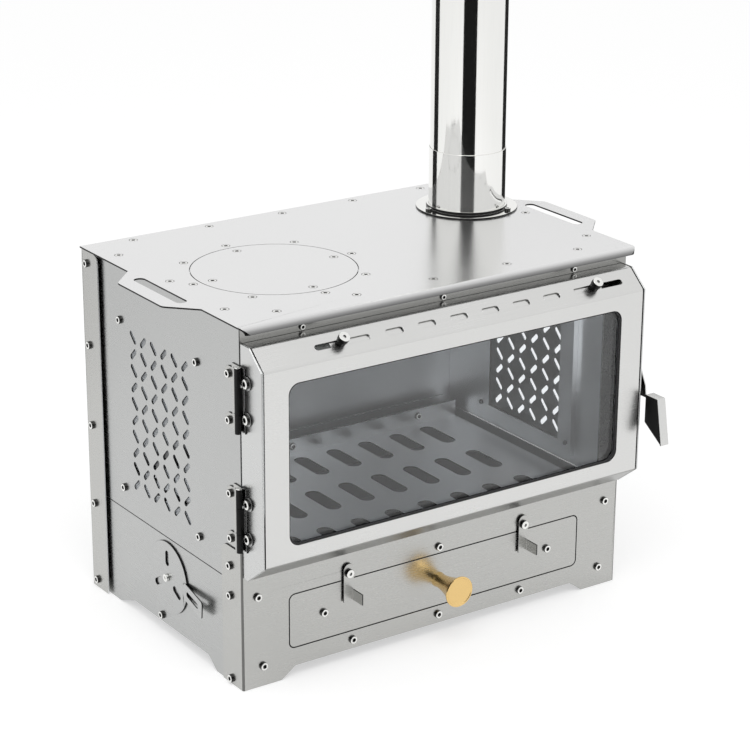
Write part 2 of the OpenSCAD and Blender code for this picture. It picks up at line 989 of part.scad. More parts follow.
module fire_grate() {
    half = rail_half - grate_side_gap;
    color(steel) placed() difference() {
        block([-half, grate_y0, grate_z - sheet], [half, case_d - grate_y0, rail_top]);
        block([-half - cut, grate_y0 + sheet, grate_z],
            [half + cut, case_d - grate_y0 - sheet, rail_top + cut]);
        for (c = [0:grate_cols - 1], r = [0:grate_rows - 1])
            translate([(c - (grate_cols - 1) / 2) * grate_pitch_x,
                mid_d + (r - (grate_rows - 1) / 2) * grate_pitch_y, 0])
                level(grate_z - sheet - cut, grate_z + cut)
                    rotate(90) obround(grate_slot_l, grate_slot_w);
        at_grate_screws() drill();
    }
}

module grate_screws() {
    color(bright) placed() at_grate_screws() screw(grate_grip);
}

module side_glass(side) {
    color(pane) placed() mirror([side < 0 ? 1 : 0, 0, 0])
        block([wall_in - glass_t, frame_mid - pane_y, vent_z - pane_z],
            [wall_in, frame_mid + pane_y, vent_z + pane_z]);
}

module left_side_glass() {
    side_glass(-1);
}

module right_side_glass() {
    side_glass(1);
}

// Shallow frame that holds a side pane against the panel
module glass_frame(side) {
    face = wall_in - glass_t - sheet;
    color(steel) placed() difference() {
        mirror([side < 0 ? 1 : 0, 0, 0]) difference() {
            block([face, frame_mid - frame_y, vent_z - frame_z],
                [wall_in, frame_mid + frame_y, vent_z + frame_z]);
            block([face + sheet, frame_mid - frame_y + sheet, vent_z - frame_z + sheet],
                [wall_in + cut, frame_mid + frame_y - sheet, vent_z + frame_z - sheet]);
            block([face - cut, frame_mid - frame_open_y, vent_z - frame_open_z],
                [wall_in + cut, frame_mid + frame_open_y, vent_z + frame_open_z]);
        }
        at_frame(side) drill(hole_r, frame_grip + cut);
    }
}

module left_glass_frame() {
    glass_frame(-1);
}

module right_glass_frame() {
    glass_frame(1);
}

module side_screws() {
    color(bright) placed() for (side = [-1, 1]) {
        at_flange(side) screw(screw_grip);
        at_back_flange(side) screw(back_grip);
        at_tray(side) screw(screw_grip);
        at_frame(side) screw(frame_grip);
    }
}

module front_screws() {
    color(bright) placed() {
        at_front_low() to_front() screw(screw_grip);
        at_front_high() to_front() screw(screw_grip);
        at_header() to_front() screw(screw_grip, header_head_r, header_head_h);
    }
}

module back_screws() {
    color(bright) placed() {
        at_front_low(case_d) to_back() screw(screw_grip);
        at_front_high(case_d) to_back() screw(screw_grip);
    }
}

// Handle beside the plate, with sloping ends and round outer corners
module handle_outline() {
    edge = top_w / 2;
    half = handle_root / 2;
    grip = handle_grip / 2;
    turn = atan2(handle_reach, half - grip);
    trim = handle_corner * tan(turn / 2);
    out = edge + handle_reach;
    slope_x = out - trim * sin(turn);
    slope_y = grip + trim * cos(turn);
    translate([0, handle_mid]) {
        polygon([[edge - slot_w, -half], [edge, -half], [slope_x, -slope_y], [out, trim - grip],
            [out, grip - trim], [slope_x, slope_y], [edge, half], [edge - slot_w, half]]);
        for (y = [-1, 1])
            translate([out - handle_corner, y * (grip - trim)]) circle(handle_corner);
    }
}

// What lies outside the round corner of the front lip
module lip_corner_waste() {
    low = case_h - lip_r - cut;
    translate([top_w / 2 - lip_corner, lip_corner - lip_reach, 0]) difference() {
        block([0, -lip_corner - cut, low], [lip_corner + cut, 0, case_h + cut]);
        rod_z(lip_corner, low - cut, case_h + 2 * cut);
    }
}

// Countersunk cone below the plane z = 0 in a plate, or with a gap the hole for it, which rises by the gap
module sink(plate_t, gap) {
    depth = sink_share * plate_t;
    slope = (sink_r - screw_r) / depth;
    translate([0, 0, -depth])
        cylinder(r1 = screw_r + gap, r2 = sink_r + gap + slope * gap, h = depth + gap);
}

// Screw whose head lies flush with the plane z = 0, in a countersink
module flush_screw(grip, plate_t) {
    depth = sink_share * plate_t;
    difference() {
        union() {
            rod_z(screw_r, -grip, -depth / 2);
            sink(plate_t, 0);
        }
        translate([0, 0, -depth]) cylinder(r = socket_r, h = depth + cut, $fn = 6);
    }
}

// Hole for such a screw
module flush_hole(plate_t) {
    drill(hole_r, plate_t + cut);
    sink(plate_t, sink_gap);
}

module top_plate() {
    lip_y = lip_r - lip_reach;
    color(steel) placed() difference() {
        union() {
            level(top_low, case_h) {
                translate([-top_w / 2, lip_y]) square([top_w, case_d + top_back - lip_y]);
                for (side = [0, 1])
                    mirror([side, 0]) handle_outline();
            }
            along(-top_w / 2, top_w / 2) translate([lip_y, case_h - lip_r]) intersection() {
                difference() {
                    circle(lip_r);
                    circle(lip_r - plate);
                }
                translate([-lip_r, 0]) square(lip_r);
            }
        }
        for (side = [-1, 1])
            translate([side * (top_w / 2 - slot_bridge + slot_w / 2), handle_mid, 0])
                level(top_low - cut, case_h + cut) rotate(90) obround(slot_l, slot_w);
        at_cook() rod_z(cook_hole_r, top_low - cut, case_h + cut);
        at_flue() rod_z(sleeve_r + side_gap, top_low - cut, case_h + cut);
        at_seat_screws() flush_hole(plate);
        at_collar_screws() drill(hole_r, collar_t + plate + cut);
        at_top() flush_hole(plate);
        for (side = [0, 1])
            mirror([side, 0, 0]) lip_corner_waste();
    }
}

module top_screws() {
    color(bright) placed() at_top() flush_screw(top_grip, plate);
}

module cook_seat_ring() {
    color(steel) placed() difference() {
        at_cook() ring(cook_hole_r - cook_seat, cook_hole_r + seat_lap, top_low - seat_t, top_low);
        at_seat_screws() drill();
    }
}

module cook_seat_screws() {
    color(bright) placed() at_seat_screws() flush_screw(seat_grip, plate);
}

module cook_plate() {
    color(steel) placed() difference() {
        at_cook() rod_z(lid_r, top_low, top_low + cook_t);
        at_lid_screws() flush_hole(cook_t);
    }
}

module cook_plate_ring() {
    color(steel) placed() difference() {
        at_cook() ring(lid_ring_r - lid_ring_w, lid_ring_r, top_low - lid_ring_t, top_low);
        at_lid_screws() drill(hole_r, lid_grip + cut);
    }
}

module cook_plate_screws() {
    color(bright) placed() at_lid_screws() flush_screw(lid_grip, cook_t);
}

module flue_collar() {
    bore = sleeve_r + run_gap;
    color(bright) placed() difference() {
        at_flue() {
            ring(bore, collar_r, case_h, case_h + collar_t);
            ring(bore, bore + neck_t, case_h, case_h + neck_h);
        }
        at_collar_screws() drill();
    }
}

module flue_collar_screws() {
    color(bright) placed() at_collar_screws() screw(screw_grip, collar_screw_head_r);
}

module flue_sleeve() {
    color(bright) placed() at_flue()
        ring(sleeve_r - flue_wall, sleeve_r, top_low - sleeve_drop, case_h + sleeve_h);
}

module flue_pipe() {
    joint = case_h + sleeve_h;
    color(bright) placed() at_flue() ring(pipe_r - flue_wall, pipe_r, joint - pipe_in, joint + pipe_h);
}

module casing_leaf(z) {
    half = hinge_l / 2;
    inner = knuckle_share * hinge_l / 2 + knuckle_gap;
    color(dark) placed() difference() {
        union() {
            along(-half_w, -wall_out) {
                translate([hinge_y + web_high, z - half]) square([casing_leaf_d, 2 * half]);
                for (i = [-1, 1])
                    translate([0, z - casing_ear_drop + i * casing_ear_z]) {
                        translate([casing_ear_y, 0]) circle(casing_ear_r);
                        translate([0, -casing_ear_r]) square([casing_ear_y, 2 * casing_ear_r]);
                    }
            }
            for (span = [[z - half, z - inner], [z + inner, z + half]]) {
                translate([hinge_x, hinge_y, 0]) {
                    rod_z(knuckle_r, span[0], span[1]);
                    block([-web_t, web_high, span[0]], [hinge_out + sheet, web_high + web_t, span[1]]);
                    block([-web_t, web_low, span[0]], [web_in, web_high + web_t, span[1]]);
                }
            }
        }
        translate([hinge_x, hinge_y, 0]) rod_z(pin_r + run_gap, z - half - cut, z + half + cut);
        at_casing_ears(z) drill();
    }
}

module upper_hinge_casing_leaf() {
    casing_leaf(hinge_high_z);
}

module lower_hinge_casing_leaf() {
    casing_leaf(hinge_low_z);
}

module door_leaf(z) {
    half = hinge_l / 2;
    inner = knuckle_share * hinge_l / 2;
    leaf_x = door_x0 - hinge_x;
    color(dark) placed() difference() {
        union() {
            along(door_x0 - sheet, door_x0) {
                translate([-door_leaf_d, z - half]) square([door_leaf_d - door_leaf_start, 2 * half]);
                for (i = [-1, 1])
                    translate([0, z + door_ear_rise + i * door_ear_z]) {
                        translate([-door_ear_y, 0]) circle(door_ear_r);
                        translate([-door_ear_y, -door_ear_r])
                            square([door_ear_y - door_leaf_start, 2 * door_ear_r]);
                    }
            }
            translate([hinge_x, hinge_y, 0]) {
                rod_z(knuckle_r, z - inner, z + inner);
                block([0, -knuckle_r, z - inner], [leaf_x, web_t - knuckle_r, z + inner]);
            }
        }
        translate([hinge_x, hinge_y, 0]) rod_z(pin_r + run_gap, z - half - cut, z + half + cut);
        at_door_ears(z) drill();
    }
}

module upper_hinge_door_leaf() {
    door_leaf(hinge_high_z);
}

module lower_hinge_door_leaf() {
    door_leaf(hinge_low_z);
}

module hinge_pins() {
    color(bright) placed() for (z = [hinge_low_z, hinge_high_z])
        translate([hinge_x, hinge_y, z]) {
            rod_z(pin_r, -hinge_l / 2, hinge_l / 2 + pin_head_h);
            rod_z(pin_head_r, hinge_l / 2, hinge_l / 2 + pin_head_h);
        }
}

module hinge_casing_screws() {
    color(bright) placed() for (z = [hinge_low_z, hinge_high_z])
        at_casing_ears(z) screw(screw_grip);
}

module hinge_door_screws() {
    color(bright) placed() for (z = [hinge_low_z, hinge_high_z])
        at_door_ears(z) screw(door_screw_grip, door_screw_head_r);
}

// Door profile in Y and Z; inset is the sheet's thickness for the hollow and 0 for the outside
module door_profile(inset) {
    back = inset > 0 ? cut : -door_gap;
    top_shift = inset * tan(bevel_turn / 2);
    front_top_shift = inset * tan((90 - bevel_turn) / 2);
    front_low_shift = inset * tan((90 - low_turn) / 2);
    low_shift = inset * tan(low_turn / 2);
    polygon([[back, door_top_z - inset], [-door_gap - door_top_flat + top_shift, door_top_z - inset],
        [door_front + inset, door_top_z - bevel_top - front_top_shift],
        [door_front + inset, door_z + bevel_low + front_low_shift],
        [-door_gap - door_low_flat + low_shift, door_z + inset], [back, door_z + inset]]);
}

module window_outline(grow_x, grow_z, r) {
    translate([window_x, window_z]) round_rect(window_w + 2 * grow_x, window_h + 2 * grow_z, r);
}

module air_slots(shift) {
    for (i = [0:air_count - 1])
        translate([air_right + (i - (air_count - 1) / 2) * air_pitch + shift, 0]) obround(air_l, air_w);
}

module door_shell() {
    color(steel) placed() {
        difference() {
            along(door_x0, door_x1) door_profile(0);
            along(door_x0 + sheet, door_x1 - sheet) door_profile(sheet);
            across(door_front - cut, door_front + sheet + cut) window_outline(0, 0, window_r);
            at_bevel() level(-sheet - cut, cut) {
                air_slots(0);
                for (i = [-1, 1])
                    translate([air_right + i * knob_slot_x, 0]) obround(knob_slot_l, knob_slot_w);
            }
            for (z = [hinge_low_z, hinge_high_z])
                at_door_ears(z) drill();
            at_bracket_screws() drill();
            translate([0, latch_y, latch_z]) rod_x(latch_pin_r + screw_gap, door_x1 - cut, door_x1 + cut);
        }
        at_studs() rod_y(stud_thread_r, door_front + sheet / 2, door_front + sheet + stud_l);
    }
}

module glass_seal() {
    color(dark) placed() across(door_front + sheet, door_front + sheet + seal_t) difference() {
        window_outline(glass_lap, glass_lap, window_r);
        window_outline(-seal_show, -seal_show, window_r);
    }
}

module door_glass() {
    y0 = door_front + sheet + seal_t;
    color(pane) placed() across(y0, y0 + glass_t) window_outline(glass_lap, glass_lap, window_r);
}

module glass_retainer() {
    y0 = door_front + sheet + seal_t + glass_t;
    color(steel) placed() difference() {
        across(y0, y0 + sheet) difference() {
            window_outline(retainer_lap_x, retainer_lap_z, window_r);
            window_outline(0, 0, window_r);
        }
        at_studs() rod_y(stud_thread_r + screw_gap, y0 - cut, y0 + sheet + cut);
    }
}

module retainer_nuts() {
    y0 = door_front + 2 * sheet + seal_t + glass_t;
    color(bright) placed() at_studs(y0) rotate([-90, 0, 0]) difference() {
        cylinder(r = nut_r, h = nut_h, $fn = 6);
        rod_z(stud_thread_r + run_gap, -cut, nut_h + cut);
    }
}

// Bracket on the door's latch side, with a boss that holds the lever away from the casing
module latch_bracket() {
    color(steel) placed() difference() {
        union() {
            block([door_x1, -bracket_y0, bracket_z0], [door_x1 + bracket_t, -bracket_y1, bracket_z1]);
            translate([0, latch_y, latch_z]) rod_x(boss_r, door_x1, lever_x - slide_gap);
        }
        translate([0, latch_y, latch_z]) rod_x(latch_pin_r + screw_gap, door_x1 - cut, lever_x + cut);
        at_bracket_screws() drill();
    }
}

module latch_bracket_screws() {
    color(bright) placed() at_bracket_screws() screw(screw_grip, head_r, bracket_head_h);
}

module latch_pivot() {
    outer = lever_x + lever_t + slide_gap;
    color(bright) placed() translate([0, latch_y, latch_z]) {
        rod_x(latch_pin_r, door_x1 - sheet - nut_h, outer + head_h / 2);
        rod_x(head_r, outer, outer + head_h);
        rod_x(nut_r, door_x1 - sheet - nut_h, door_x1 - sheet);
    }
}

// Lever plate round its pivot, in Y and Z: grip in front, hook behind
module lever_outline() {
    polygon([[-lever_top_front, lever_top], [lever_top_back, lever_top], [arm_back, -arm_high],
        [nose_in, -arm_high], [nose_in, -nose_high], [nose_out, -nose_high], [nose_out, -arm_low],
        [-grip_back - run_gap, -arm_low], [-grip_back, -grip_heel], [-grip_tip, -grip_low],
        [-grip_front, -grip_top], [-grip_back, -grip_top], [-grip_back + sheet, -nose_high]]);
}

module latch_lever() {
    color(dark) placed() translate([0, latch_y, latch_z]) difference() {
        union() {
            along(lever_x, lever_x + lever_t) lever_outline();
            along(lever_x, lever_x + grip_w)
                polygon([[-grip_front, -grip_top], [-grip_tip, -grip_low],
                    [-grip_tip + lever_t, -grip_low], [-grip_front + lever_t, -grip_top]]);
            block([lever_x, -grip_front, -grip_top - lever_t], [lever_x + grip_w, -grip_back, -grip_top]);
        }
        rod_x(latch_pin_r + run_gap, lever_x - cut, lever_x + lever_t + cut);
    }
}

// Stud behind which the lever's nose catches, riveted in the right side panel
module latch_stud() {
    outer = lever_x + lever_t + stud_gap;
    color(bright) placed() translate([0, stud_y, latch_z]) {
        rod_x(stud_head_r, wall_in - stud_inner_t, wall_in);
        rod_x(stud_r, wall_in - stud_inner_t, outer + stud_head_t / 2);
        rod_x(stud_head_r, outer, outer + stud_head_t);
    }
}

module air_shutter() {
    low = -(sheet + slide_gap + shutter_t);
    mid = air_right - knob_shift;
    color(steel) placed() at_bevel() difference() {
        translate([mid, 0, 0]) level(low, low + shutter_t)
            square([2 * (knob_span + shutter_end), shutter_w], center = true);
        level(low - cut, cut) air_slots(air_pitch / 2);
        for (i = [-1, 1])
            translate([mid + i * knob_span, 0, 0]) rod_z(knob_shank_r + run_gap, low - cut, cut);
    }
}

// Socket screws that work as the shutter's knobs: nut below the plate, spacer and head above
module shutter_knobs() {
    low = -(sheet + slide_gap + shutter_t);
    top = slide_gap + knob_nut_h;
    color(bright) placed() at_bevel() for (i = [-1, 1])
        translate([air_right - knob_shift + i * knob_span, 0, 0]) {
            rod_z(nut_r, low - nut_h, low);
            rod_z(knob_shank_r, low - nut_h, top);
            translate([0, 0, slide_gap]) cylinder(r = knob_nut_r, h = knob_nut_h, $fn = 6);
            translate([0, 0, top]) screw(knob_nut_h / 2, knob_head_r, knob_head_h, knob_shank_r);
        }
}

module drawer_front() {
    color(steel) placed() difference() {
        across(0, sheet) translate([0, drawer_mid_z]) round_rect(drawer_w, drawer_h, drawer_r);
        at_drawer_screws() drill();
        translate([0, 0, drawer_mid_z]) rod_y(knob_hole_r + screw_gap, -cut, sheet + cut);
    }
}

module ash_pan() {
    color(steel) placed() difference() {
        block([-pan_x, sheet, pan_z0], [pan_x, pan_l, pan_z1]);
        block([sheet - pan_x, 2 * sheet, pan_z0 + sheet], [pan_x - sheet, pan_l - sheet, pan_z1 + cut]);
        at_drawer_screws() drill();
        translate([0, 0, drawer_mid_z]) rod_y(knob_hole_r + screw_gap, -cut, 2 * sheet + cut);
    }
}

module drawer_screws() {
    color(bright) placed() at_drawer_screws() screw(drawer_grip);
}

// Turned knob: a short base, a waist and a rim that flares out of it
module drawer_knob() {
    flare = knob_r - knob_rim - knob_neck_r;
    run = knob_l - knob_rim_t - knob_base_l;
    bow = (flare * flare + run * run) / (2 * flare);
    color(brass) placed() translate([0, 0, drawer_mid_z]) to_front() {
        rotate_extrude() difference() {
            square([knob_r, knob_l]);
            translate([knob_neck_r + bow, knob_base_l]) circle(bow, $fn = 96);
            translate([knob_base_r, -cut]) square([knob_r, knob_base_l + cut]);
        }
        rod_z(knob_hole_r, -sheet - nut_h, knob_base_l);
    }
}

module clip() {
    half = clip_w / 2;
    low = clip_above - clip_l;
    difference() {
        union() {
            across(clip_y0, clip_y1) {
                translate([-half, low]) square([clip_w, clip_l - half]);
                translate([0, clip_above - half]) circle(half);
            }
            block([half - sheet, clip_y1 - clip_tab_l - sheet, clip_tab_z - clip_pivot_z],
                [half, clip_y1, clip_tab_z + clip_tab_h - clip_pivot_z]);
        }
        rod_y(screw_r + run_gap, clip_y0 - cut, clip_y1 + cut);
    }
}

module left_clip() {
    color(steel) placed() translate([-clip_left, 0, clip_pivot_z]) clip();
}

module right_clip() {
    color(steel) placed() translate([clip_right, 0, clip_pivot_z]) clip();
}

// Shouldered screws on which the clips turn
module clip_screws() {
    head_y = clip_y0 - slide_gap;
    color(bright) placed() at_clips() {
        rod_y(screw_r, head_y - head_h / 2, clip_shank_l);
        rod_y(clip_collar_r, clip_y1 + slide_gap, -run_gap);
        translate([0, head_y, 0]) to_front() screw(run_gap, clip_head_r);
    }
}

// Turning disk with a tab that is kicked outwards
module damper_disk() {
    face = wall_out + slide_gap;
    run = damper_tab - damper_tab_root;
    color(steel) placed() at_damper(face + sheet) difference() {
        union() {
            rod_x(damper_r, 0, sheet);
            rotate([damper_tilt, 0, 0]) translate([0, -damper_tab_root, 0]) rotate([0, 0, -damper_kick])
                along(0, sheet) difference() {
                    translate([-run / 2, 0]) round_rect(run, damper_tab_w, damper_tab_corner);
                    translate([-damper_tab_slot_at, 0]) obround(damper_tab_slot_l, damper_tab_slot_w);
                }
        }
        along(-cut, sheet + cut) damper_slots_outline(90);
        rod_x(screw_r + run_gap, -cut, sheet + cut);
    }
}

// Screw on which the damper turns, with its nut inside the panel
module damper_pivot() {
    outer = wall_out + 2 * slide_gap + sheet;
    color(bright) placed() at_damper(outer) {
        to_side(-1) screw(outer - wall_in + nut_h);
        rod_x(nut_r, outer - wall_in, outer - wall_in + nut_h);
    }
}

lower_front_panel();
header_plate();
front_top_rail();
left_side_panel();
right_side_panel();
left_lower_panel();
right_lower_panel();
back_panel();
bottom_tray();
drawer_runners();
front_grate_rail();
rear_grate_rail();
fire_grate();
grate_screws();
left_side_glass();
right_side_glass();
left_glass_frame();
right_glass_frame();
side_screws();
front_screws();
back_screws();
top_plate();
top_screws();
cook_seat_ring();
cook_seat_screws();
flue_collar();
flue_collar_screws();
flue_sleeve();
flue_pipe();
upper_hinge_casing_leaf();
lower_hinge_casing_leaf();
hinge_pins();
hinge_casing_screws();
latch_stud();
damper_pivot();
door_shell();
door_glass();
glass_seal();
glass_retainer();
retainer_nuts();
upper_hinge_door_leaf();
lower_hinge_door_leaf();
hinge_door_screws();
latch_bracket();
latch_bracket_screws();
latch_pivot();
latch_lever();
air_shutter();
shutter_knobs();
drawer_front();
ash_pan();
drawer_screws();
drawer_knob();
clip_screws();
left_clip();
right_clip();
damper_disk();
cook_plate();
cook_plate_ring();
cook_plate_screws();
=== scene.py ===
"""Looks of the tent wood stove: satin sheet steel, polished flue, glazed door, brass drawer knob."""
import json
import math

import bmesh
import bpy
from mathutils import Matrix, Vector


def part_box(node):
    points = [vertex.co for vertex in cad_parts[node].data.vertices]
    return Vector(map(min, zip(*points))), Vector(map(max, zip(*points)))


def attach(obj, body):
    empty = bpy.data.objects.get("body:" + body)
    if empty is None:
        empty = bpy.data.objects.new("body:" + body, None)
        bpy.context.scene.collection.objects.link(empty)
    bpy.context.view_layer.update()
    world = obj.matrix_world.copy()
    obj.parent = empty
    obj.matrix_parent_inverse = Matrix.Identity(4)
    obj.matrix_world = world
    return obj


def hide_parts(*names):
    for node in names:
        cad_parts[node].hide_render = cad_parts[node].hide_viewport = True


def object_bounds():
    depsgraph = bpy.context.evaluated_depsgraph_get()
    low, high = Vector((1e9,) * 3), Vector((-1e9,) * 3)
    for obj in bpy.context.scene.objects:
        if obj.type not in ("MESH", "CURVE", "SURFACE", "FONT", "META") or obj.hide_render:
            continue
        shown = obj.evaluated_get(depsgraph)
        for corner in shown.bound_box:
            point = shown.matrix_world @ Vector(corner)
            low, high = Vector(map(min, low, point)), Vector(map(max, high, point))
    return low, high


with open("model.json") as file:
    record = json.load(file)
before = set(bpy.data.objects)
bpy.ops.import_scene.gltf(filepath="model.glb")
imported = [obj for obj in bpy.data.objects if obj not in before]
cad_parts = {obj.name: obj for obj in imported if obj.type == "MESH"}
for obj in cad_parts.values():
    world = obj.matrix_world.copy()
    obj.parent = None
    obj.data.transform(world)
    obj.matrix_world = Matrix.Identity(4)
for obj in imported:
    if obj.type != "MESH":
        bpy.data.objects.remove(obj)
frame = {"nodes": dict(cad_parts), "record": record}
cad_low, cad_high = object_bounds()
nodes = frame["nodes"]
record = frame["record"]
MM = 0.001
X, Y, Z = range(3)


# Camera: focal length and place worked out from the photograph's straight edges

PHOTO_PIXELS = 750
FOCAL_PIXELS = 2400.0
SENSOR = 36.0
CAMERA_PLACE = Vector((-1126.90, -1643.86, 934.51)) * MM
CAMERA_DOWN = 19.978
CAMERA_TURN = 34.388
CAMERA_ROLL = -0.317
NEAREST_SEEN = 0.05
FARTHEST_SEEN = 60.0


def make_camera():
    data = bpy.data.cameras.new("camera")
    data.sensor_width = SENSOR
    data.lens = SENSOR * FOCAL_PIXELS / PHOTO_PIXELS
    data.clip_start = NEAREST_SEEN
    data.clip_end = FARTHEST_SEEN
    camera = bpy.data.objects.new("camera", data)
    bpy.context.scene.collection.objects.link(camera)
    camera.location = CAMERA_PLACE
    turns = (90 - CAMERA_DOWN, CAMERA_ROLL, -CAMERA_TURN)
    camera.rotation_euler = [math.radians(turn) for turn in turns]
    bpy.context.scene.camera = camera


# Materials

# Colour sockets of a Mix node, which have the same names as its sockets for numbers
MIX_FIRST = 6
MIX_SECOND = 7
MIX_RESULT = 2


def new_material(name):
    material = bpy.data.materials.new(name)
    material.use_nodes = True
    return material, material.node_tree.nodes, material.node_tree.links


def put(tree, kind, **values):
    """Adds a node with these properties."""
    node = tree.new(kind)
    for key, value in values.items():
        setattr(node, key, value)
    return node


def dial(node, levels):
    """Sets a node's sockets, each by its name or number."""
    for socket, level in levels.items():
        node.inputs[socket].default_value = level


def grey(value):
    return (value, value, value)


def ramp(tree, *stops):
    """Colour ramp through these places and colours."""
    node = put(tree, "ShaderNodeValToRGB")
    elements = node.color_ramp.elements
    while len(elements) < len(stops):
        elements.new(0.5)
    for element, (place, colour) in zip(elements, stops):
        element.position = place
        element.color = (*colour, 1.0)
    return node


# Painted shade down the front lip of the top plate, for the dark room its bend would mirror: where it
# starts and ends, and its greys from the bottom upwards
LIP_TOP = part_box("top_plate")[1].z
LIP_START = 0.03 * MM
LIP_DROP = 6.0 * MM
LIP_SHADE_GREYS = ((0.0, 0.16), (0.45, 0.42), (0.92, 0.95), (1.0, 1.0))


def paint_lip_shade(tree, links, place, shade):
    """The plate's colour with painted shade, darker and darker down the front lip, as its bend would
    mirror a dark room.
    """
    split = put(tree, "ShaderNodeSeparateXYZ")
    links.new(place.outputs["Object"], split.inputs["Vector"])
    drop = put(tree, "ShaderNodeMapRange")
    dial(drop, {"From Min": LIP_TOP - LIP_DROP, "From Max": LIP_TOP - LIP_START})
    links.new(split.outputs["Z"], drop.inputs["Value"])
    lip_shade_ramp = ramp(tree, *[(height, grey(value)) for height, value in LIP_SHADE_GREYS])
    links.new(drop.outputs["Result"], lip_shade_ramp.inputs["Fac"])
    mixed = put(tree, "ShaderNodeMix", data_type="RGBA", blend_type="MULTIPLY")
    dial(mixed, {"Factor": 1.0})
    links.new(shade.outputs["Color"], mixed.inputs[MIX_FIRST])
    links.new(lip_shade_ramp.outputs["Color"], mixed.inputs[MIX_SECOND])
    return mixed.outputs[MIX_RESULT]


# Rolled steel: how far its lines are drawn out, their share in the pattern, how much the gloss varies
LINE_SQUEEZE = 0.03
LINE_SHARE = 0.55
GLOSS_SPREAD = 0.14


def steel(name, tint, rough, grain, brushed=None, spread=0.02, bump=0.006, lip=False):
    """Sheet steel: fine lines along the brushed axis, clouds of slightly other shade, soft gloss; with
    lip, painted shade down the front lip.
    """
    material, tree, links = new_material(name)
    shader = tree["Principled BSDF"]
    dial(shader, {"Metallic": 1.0})
    place = put(tree, "ShaderNodeTexCoord")
    stretch = put(tree, "ShaderNodeMapping")
    dial(stretch, {"Scale": [LINE_SQUEEZE if axis == brushed else 1.0 for axis in (X, Y, Z)]})
    links.new(place.outputs["Object"], stretch.inputs["Vector"])
    lines = put(tree, "ShaderNodeTexNoise")
    dial(lines, {"Scale": grain, "Detail": 5.0, "Roughness": 0.65})
    links.new(stretch.outputs["Vector"], lines.inputs["Vector"])
    clouds = put(tree, "ShaderNodeTexNoise")
    dial(clouds, {"Scale": 14.0, "Detail": 3.0})
    links.new(place.outputs["Object"], clouds.inputs["Vector"])
    cloud_part = put(tree, "ShaderNodeMath", operation="MULTIPLY")
    dial(cloud_part, {1: 1 - LINE_SHARE})
    links.new(clouds.outputs["Fac"], cloud_part.inputs[0])
    pattern = put(tree, "ShaderNodeMath", operation="MULTIPLY_ADD")
    dial(pattern, {1: LINE_SHARE})
    links.new(lines.outputs["Fac"], pattern.inputs[0])
    links.new(cloud_part.outputs[0], pattern.inputs[2])
    darkest = [level * (1 - spread) for level in tint]
    palest = [min(1.0, level * (1 + spread)) for level in tint]
    shade = ramp(tree, (0.35, darkest), (0.65, palest))
    links.new(pattern.outputs[0], shade.inputs["Fac"])
    # With lip, painted shade turns the colour darker down the front lip
    colour = paint_lip_shade(tree, links, place, shade) if lip else shade.outputs["Color"]
    links.new(colour, shader.inputs["Base Color"])
    gloss = ramp(tree, (0.3, grey(rough * (1 - GLOSS_SPREAD))), (0.7, grey(rough * (1 + GLOSS_SPREAD))))
    links.new(pattern.outputs[0], gloss.inputs["Fac"])
    links.new(gloss.outputs["Color"], shader.inputs["Roughness"])
    relief = put(tree, "ShaderNodeBump")
    dial(relief, {"Strength": bump, "Distance": 0.2 * MM})
    links.new(lines.outputs["Fac"], relief.inputs["Height"])
    links.new(relief.outputs["Normal"], shader.inputs["Normal"])
    return material


def make_glass():
    """Clear glass with a faint film: slightly blue, here and there a little hazy."""
    material, tree, links = new_material("stove_glass")
    shader = tree["Principled BSDF"]
    dial(shader, {"Transmission Weight": 1.0, "IOR": 1.47})
    place = put(tree, "ShaderNodeTexCoord")
    film = put(tree, "ShaderNodeTexNoise")
    dial(film, {"Scale": 9.0, "Detail": 4.0})
    links.new(place.outputs["Object"], film.inputs["Vector"])
    tone = ramp(tree, (0.3, (0.94, 0.965, 0.98)), (0.7, (0.97, 0.98, 0.99)))
    links.new(film.outputs["Fac"], tone.inputs["Fac"])
    links.new(tone.outputs["Color"], shader.inputs["Base Color"])
    haze = ramp(tree, (0.4, grey(0.0)), (0.8, grey(0.02)))
    links.new(film.outputs["Fac"], haze.inputs["Fac"])
    links.new(haze.outputs["Color"], shader.inputs["Roughness"])
    return material


def make_seal():
    """Dark woven fibre of the door's seal."""
    material, tree, links = new_material("seal_fibre")
    shader = tree["Principled BSDF"]
    dial(shader, {"Roughness": 0.85})
    place = put(tree, "ShaderNodeTexCoord")
    weave = put(tree, "ShaderNodeTexWave", wave_type="BANDS", bands_direction="DIAGONAL")
    dial(weave, {"Scale": 260.0, "Distortion": 2.0})
    links.new(place.outputs["Object"], weave.inputs["Vector"])
    tone = ramp(tree, (0.2, (0.012, 0.012, 0.013)), (0.8, (0.05, 0.05, 0.052)))
    links.new(weave.outputs["Color"], tone.inputs["Fac"])
    links.new(tone.outputs["Color"], shader.inputs["Base Color"])
    relief = put(tree, "ShaderNodeBump")
    dial(relief, {"Strength": 0.5, "Distance": 0.4 * MM})
    links.new(weave.outputs["Color"], relief.inputs["Height"])
    links.new(relief.outputs["Normal"], shader.inputs["Normal"])
    return material


